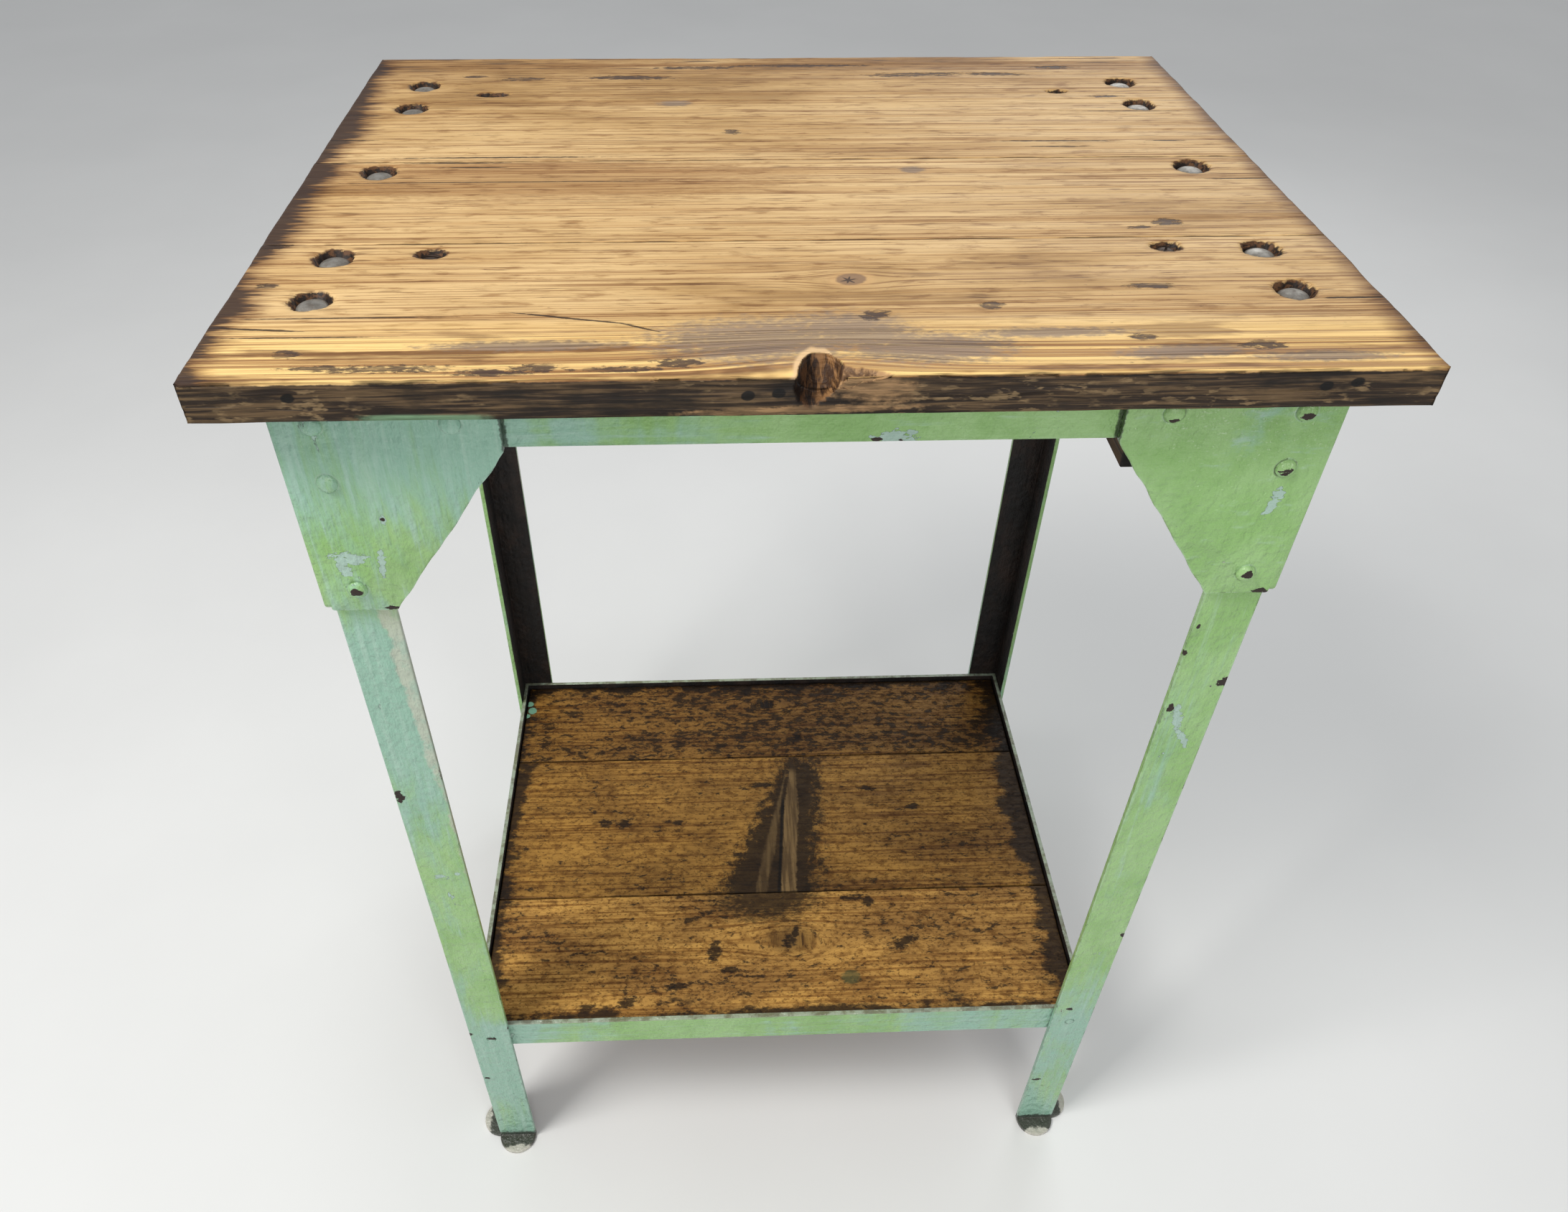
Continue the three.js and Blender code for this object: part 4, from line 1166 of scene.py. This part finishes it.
def gusset_piece(node, material, origin, inward, outward, outset, seed):
    """A hand-cut gusset plate with its four rivet heads."""
    work = bmesh.new()

    def at(along, up, out):
        return origin + inward * along + Vector((0, 0, up)) + outward * out

    outline = gusset_outline(outset, seed)
    inner = [work.verts.new(at(along, up, FIT_GAP)) for along, up in outline]
    outer = [work.verts.new(at(along, up, FIT_GAP + STEEL)) for along, up in outline]
    work.faces.new(outer)
    work.faces.new(tuple(reversed(inner)))
    for k in range(len(outline)):
        after = (k + 1) % len(outline)
        work.faces.new((outer[k], inner[k], inner[after], outer[after]))
    bmesh.ops.recalc_face_normals(work, faces=work.faces)
    seam = origin - inward * outset

    def on_seam(edge):
        """The corner where a face plate meets a side plate stays sharp, because paint bridges it."""
        near_corner = all(abs((vert.co - seam).dot(inward)) < 4e-4 for vert in edge.verts)
        inner_side = all(abs((vert.co - origin).dot(outward) - FIT_GAP) < 1e-5 for vert in edge.verts)
        return near_corner and (outset == 0 or inner_side)

    rim = [
        edge for edge in work.edges
        if edge.calc_face_angle(0) > math.radians(60) and not on_seam(edge)
    ]
    bmesh.ops.bevel(
        work, geom=rim, offset=0.9 * MM, segments=2, profile=0.5, affect="EDGES", clamp_overlap=True,
    )
    spots = [(RIVET_INSET, UNDERSIDE_Z - drop) for drop in RIVET_DROPS]
    spots.append((RIVET_FAR, UNDERSIDE_Z - RIVET_DROPS[0]))
    for along, up in spots:
        dome(work, at(along, up, FIT_GAP + STEEL), outward, 0.0058, 0.0035)
        tail_centre = at(along, up, -STEEL - FIT_GAP)
        dome(work, tail_centre, -outward, 0.005, 0.0025, segments=16, rings=4)
    mesh = mesh_from(work, "worn_" + node)
    add_piece("worn_" + node, mesh, material, [node])
    mesh.set_sharp_from_angle(angle=math.radians(38))


# Corners of the frame: end, side, sign of X, outer plane in Y and sign of Y towards the middle
CORNERS = [
    (end, side, sign, y, inward)
    for end, y, inward in (("front", FRAME_FRONT, 1), ("back", FRAME_BACK, -1))
    for side, sign in (("left", -1), ("right", 1))
]
# Marks on the front faces. Flakes: (x, z), (half length, half width), turn
# Chips: (x, z), (half width, half height)
LEFT_FLAKES = [
    ((-0.260, 0.7520), (0.0100, 0.0044), -0.15),
    ((-0.264, 0.7450), (0.0036, 0.0085), 0.30),
    ((-0.242, 0.7490), (0.0021, 0.0100), -0.12),
    ((-0.236, 0.7785), (0.0017, 0.0028), 0.0),
]
RIGHT_FLAKES = [
    ((0.2615, 0.7860), (0.0034, 0.0048), 0.2),
    ((0.2600, 0.7770), (0.0026, 0.0070), -0.2),
]
LEFT_CHIPS = [
    ((-0.2605, 0.7290), (0.0036, 0.0028)),
    ((-0.2430, 0.7150), (0.0045, 0.0020)),
    ((-0.2360, 0.7790), (0.0012, 0.0012)),
]
RIGHT_CHIPS = [
    ((0.2600, 0.7285), (0.0032, 0.0036)),
    ((0.2600, 0.8030), (0.0034, 0.0024)),
    ((0.2600, 0.8385), (0.0040, 0.0024)),
    ((0.1890, 0.8370), (0.0026, 0.0012)),
    ((0.2740, 0.7145), (0.0050, 0.0022)),
]
LEG_CHIPS = [
    ((-0.2750, 0.5370), (0.0030, 0.0070)),
    ((-0.2420, 0.5580), (0.0014, 0.0070)),
    ((-0.2765, 0.3930), (0.0024, 0.0018)),
    ((-0.2415, 0.3700), (0.0012, 0.0140)),
    ((-0.2420, 0.2640), (0.0014, 0.0030)),
    ((-0.2770, 0.2050), (0.0018, 0.0026)),
    ((-0.2595, 0.1965), (0.0042, 0.0020)),
    ((-0.2420, 0.2140), (0.0016, 0.0050)),
    ((-0.2420, 0.1540), (0.0012, 0.0022)),
    ((-0.2740, 0.1240), (0.0032, 0.0016)),
    ((0.2460, 0.6820), (0.0012, 0.0018)),
    ((0.2440, 0.6590), (0.0012, 0.0024)),
    ((0.2770, 0.6330), (0.0046, 0.0040)),
    ((0.2475, 0.6090), (0.0022, 0.0044)),
    ((0.2780, 0.5270), (0.0014, 0.0040)),
    ((0.2780, 0.4630), (0.0014, 0.0030)),
    ((0.2770, 0.3350), (0.0022, 0.0034)),
    ((0.2560, 0.2180), (0.0030, 0.0022)),
    ((0.2490, 0.0860), (0.0040, 0.0022)),
]
LEG_FLAKES = [
    ((-0.264, 0.4420), (0.0036, 0.0026), 0.2),
    ((-0.250, 0.4440), (0.0022, 0.0016), 0.0),
    ((0.2540, 0.6000), (0.0034, 0.0120), 0.30),
    ((0.2620, 0.5800), (0.0026, 0.0120), 0.55),
]
RAIL_CHIPS = [((0.034, 0.8235), (0.0030, 0.0014)), ((0.049, 0.8230), (0.0030, 0.0010))]
RAIL_FLAKES = [((0.0445, 0.8245), (0.0110, 0.0046), 0.0)]


def add_gussets():
    upright, sideways = (240, 240, 16), (60, 60, 190)
    left = frame_paint("paint_gusset_left", gusset_left_mint, upright,
                       chips=LEFT_CHIPS, flakes=LEFT_FLAKES, joined=True)
    right = frame_paint("paint_gusset_right", gusset_right_mint, sideways,
                        chips=RIGHT_CHIPS, flakes=RIGHT_FLAKES, joined=True)
    for k, (end, side, sign, y, inward) in enumerate(CORNERS):
        paint = left if sign < 0 else right
        corner = Vector((sign * FRAME_X, y, 0))
        toward_middle, toward_back = Vector((-sign, 0, 0)), Vector((0, inward, 0))
        gusset_piece(f"gusset_{end}_{side}", paint, corner, toward_middle, -toward_back, 0.0, 300 + k * 10)
        gusset_piece(f"gusset_side_{end}_{side}", paint, corner, toward_back, -toward_middle,
                     STEEL + FIT_GAP, 500 + k * 10)


def add_legs_and_rails():
    upright, along_x = (230, 230, 12), (16, 90, 230)
    leg_paint = frame_paint("paint_legs", leg_mint, upright, inner_depth=STEEL,
                            chips=LEG_CHIPS, flakes=LEG_FLAKES, feet=True)
    rail_paint = frame_paint("paint_top_rails", rail_mint, along_x, inner_depth=STEEL,
                             chips=RAIL_CHIPS, flakes=RAIL_FLAKES)
    shelf_paint = frame_paint("paint_shelf_rails", shelf_rail_mint, along_x,
                              inner_depth=2 * STEEL + FIT_GAP, worn_top=SHELF_RAIL_TOP)
    for end, side, *_ in CORNERS:
        bevelled_copy(f"leg_{end}_{side}", leg_paint, 0.0009)
    for part in ("front", "back", "left", "right"):
        bevelled_copy("top_rail_" + part, rail_paint, 0.0009)
        bevelled_copy("shelf_rail_" + part, shelf_paint, 0.0007)
    for end, side, *_ in CORNERS:
        for face in ("face", "side"):
            bevelled_copy(f"shelf_rivet_{end}_{side}_{face}", leg_paint, 0.0004)


# ---------------------------------------------------------------- fasteners

def lathe(profile, centre, segments):
    """Turns a profile of (radius, z) points that starts and ends on the axis."""
    work = bmesh.new()
    rings = []
    for radius, z in profile:
        if radius == 0:
            rings.append([work.verts.new((centre.x, centre.y, z))])
        else:
            rings.append([
                work.verts.new((
                    centre.x + radius * math.cos(2 * math.pi * k / segments),
                    centre.y + radius * math.sin(2 * math.pi * k / segments),
                    z,
                ))
                for k in range(segments)
            ])
    for lower, upper in zip(rings, rings[1:]):
        for k in range(segments):
            after = (k + 1) % segments
            under = [lower[k % len(lower)], lower[after % len(lower)]]
            over = [upper[after % len(upper)], upper[k % len(upper)]]
            work.faces.new(tuple(dict.fromkeys(under + over)))
    bmesh.ops.recalc_face_normals(work, faces=work.faces)
    return work


def head_curve(radius, seat, height, steps, power):
    """Profile of a domed head, from its rim at the seat to just short of its middle."""
    angles = [step / steps * math.pi / 2 for step in range(steps)]
    return [(radius * math.cos(angle) ** power, seat + height * math.sin(angle)) for angle in angles]


def turned_piece(node, profile, centre, segments, material):
    mesh = mesh_from(lathe(profile, centre, segments), "worn_" + node)
    return add_piece("worn_" + node, mesh, material, [node])


def bolt_piece(node, material):
    """A carriage bolt with a low domed head."""
    low, high = BOXES[node]
    head, shank, seat = BOLT_HEAD_SHARE * (high.x - low.x) / 2, 4 * MM, high.z - 4.6 * MM
    profile = [(0, low.z), (shank - MM, low.z), (shank, low.z + MM), (shank, seat), (head * 0.97, seat)]
    profile += head_curve(head, seat + 0.4 * MM, 4.2 * MM, 11, 0.85)
    profile.append((0, high.z))
    piece = turned_piece(node, profile, centre_of(node), 40, material)
    piece.data.set_sharp_from_angle(angle=math.radians(50))


def screw_piece(node, material):
    """A round-headed wood screw with a driving slot."""
    low, high = BOXES[node]
    middle = centre_of(node)
    head, shank, seat = (high.x - low.x) / 2, 3 * MM, high.z - 3.2 * MM
    profile = [(0, low.z), (shank, low.z + 8 * MM), (shank, seat), (head * 0.96, seat)]
    profile += head_curve(head, seat + 0.5 * MM, 2.7 * MM, 8, 0.8)
    profile.append((0, high.z))
    piece = turned_piece(node, profile, middle, 32, material)

    box = bmesh.new()
    bmesh.ops.create_cube(box, size=1)
    turn = Matrix.Rotation(0.5 + middle.x * 3, 4, "Z")
    place = Matrix.Translation((middle.x, middle.y, high.z))
    box.transform(place @ turn @ Matrix.Diagonal((30 * MM, 1.4 * MM, 3 * MM, 1)))
    cutter = link_object("slot_cutter", mesh_from(box, "slot_cutter"))
    cut = piece.modifiers.new("slot", "BOOLEAN")
    cut.operation = "DIFFERENCE"
    cut.object = cutter
    cut.solver = "EXACT"
    bpy.context.view_layer.update()
    result = bpy.data.meshes.new_from_object(piece.evaluated_get(bpy.context.evaluated_depsgraph_get()))
    piece.modifiers.clear()
    piece.data = result
    bpy.data.objects.remove(cutter)
    result.set_sharp_from_angle(angle=math.radians(45))


def add_fasteners():
    steel = worn_steel("bolt_head_steel", (172, 168, 160), (122, 117, 109), 0.48, 0.30)
    rusty = worn_steel("nut_steel", (86, 74, 66), (50, 40, 34), 0.5, 0.8)
    for node in sorted(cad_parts):
        if node.startswith("carriage_bolt"):
            bolt_piece(node, steel)
        elif node.startswith("nut_"):
            bevelled_copy(node, rusty, 0.5 * MM)
        elif node.startswith("bearer_screw"):
            screw_piece(node, rusty)


# ---------------------------------------------------------------- build

add_camera()
add_lights()
add_floor()
add_planks()
add_legs_and_rails()
add_gussets()
add_fasteners()
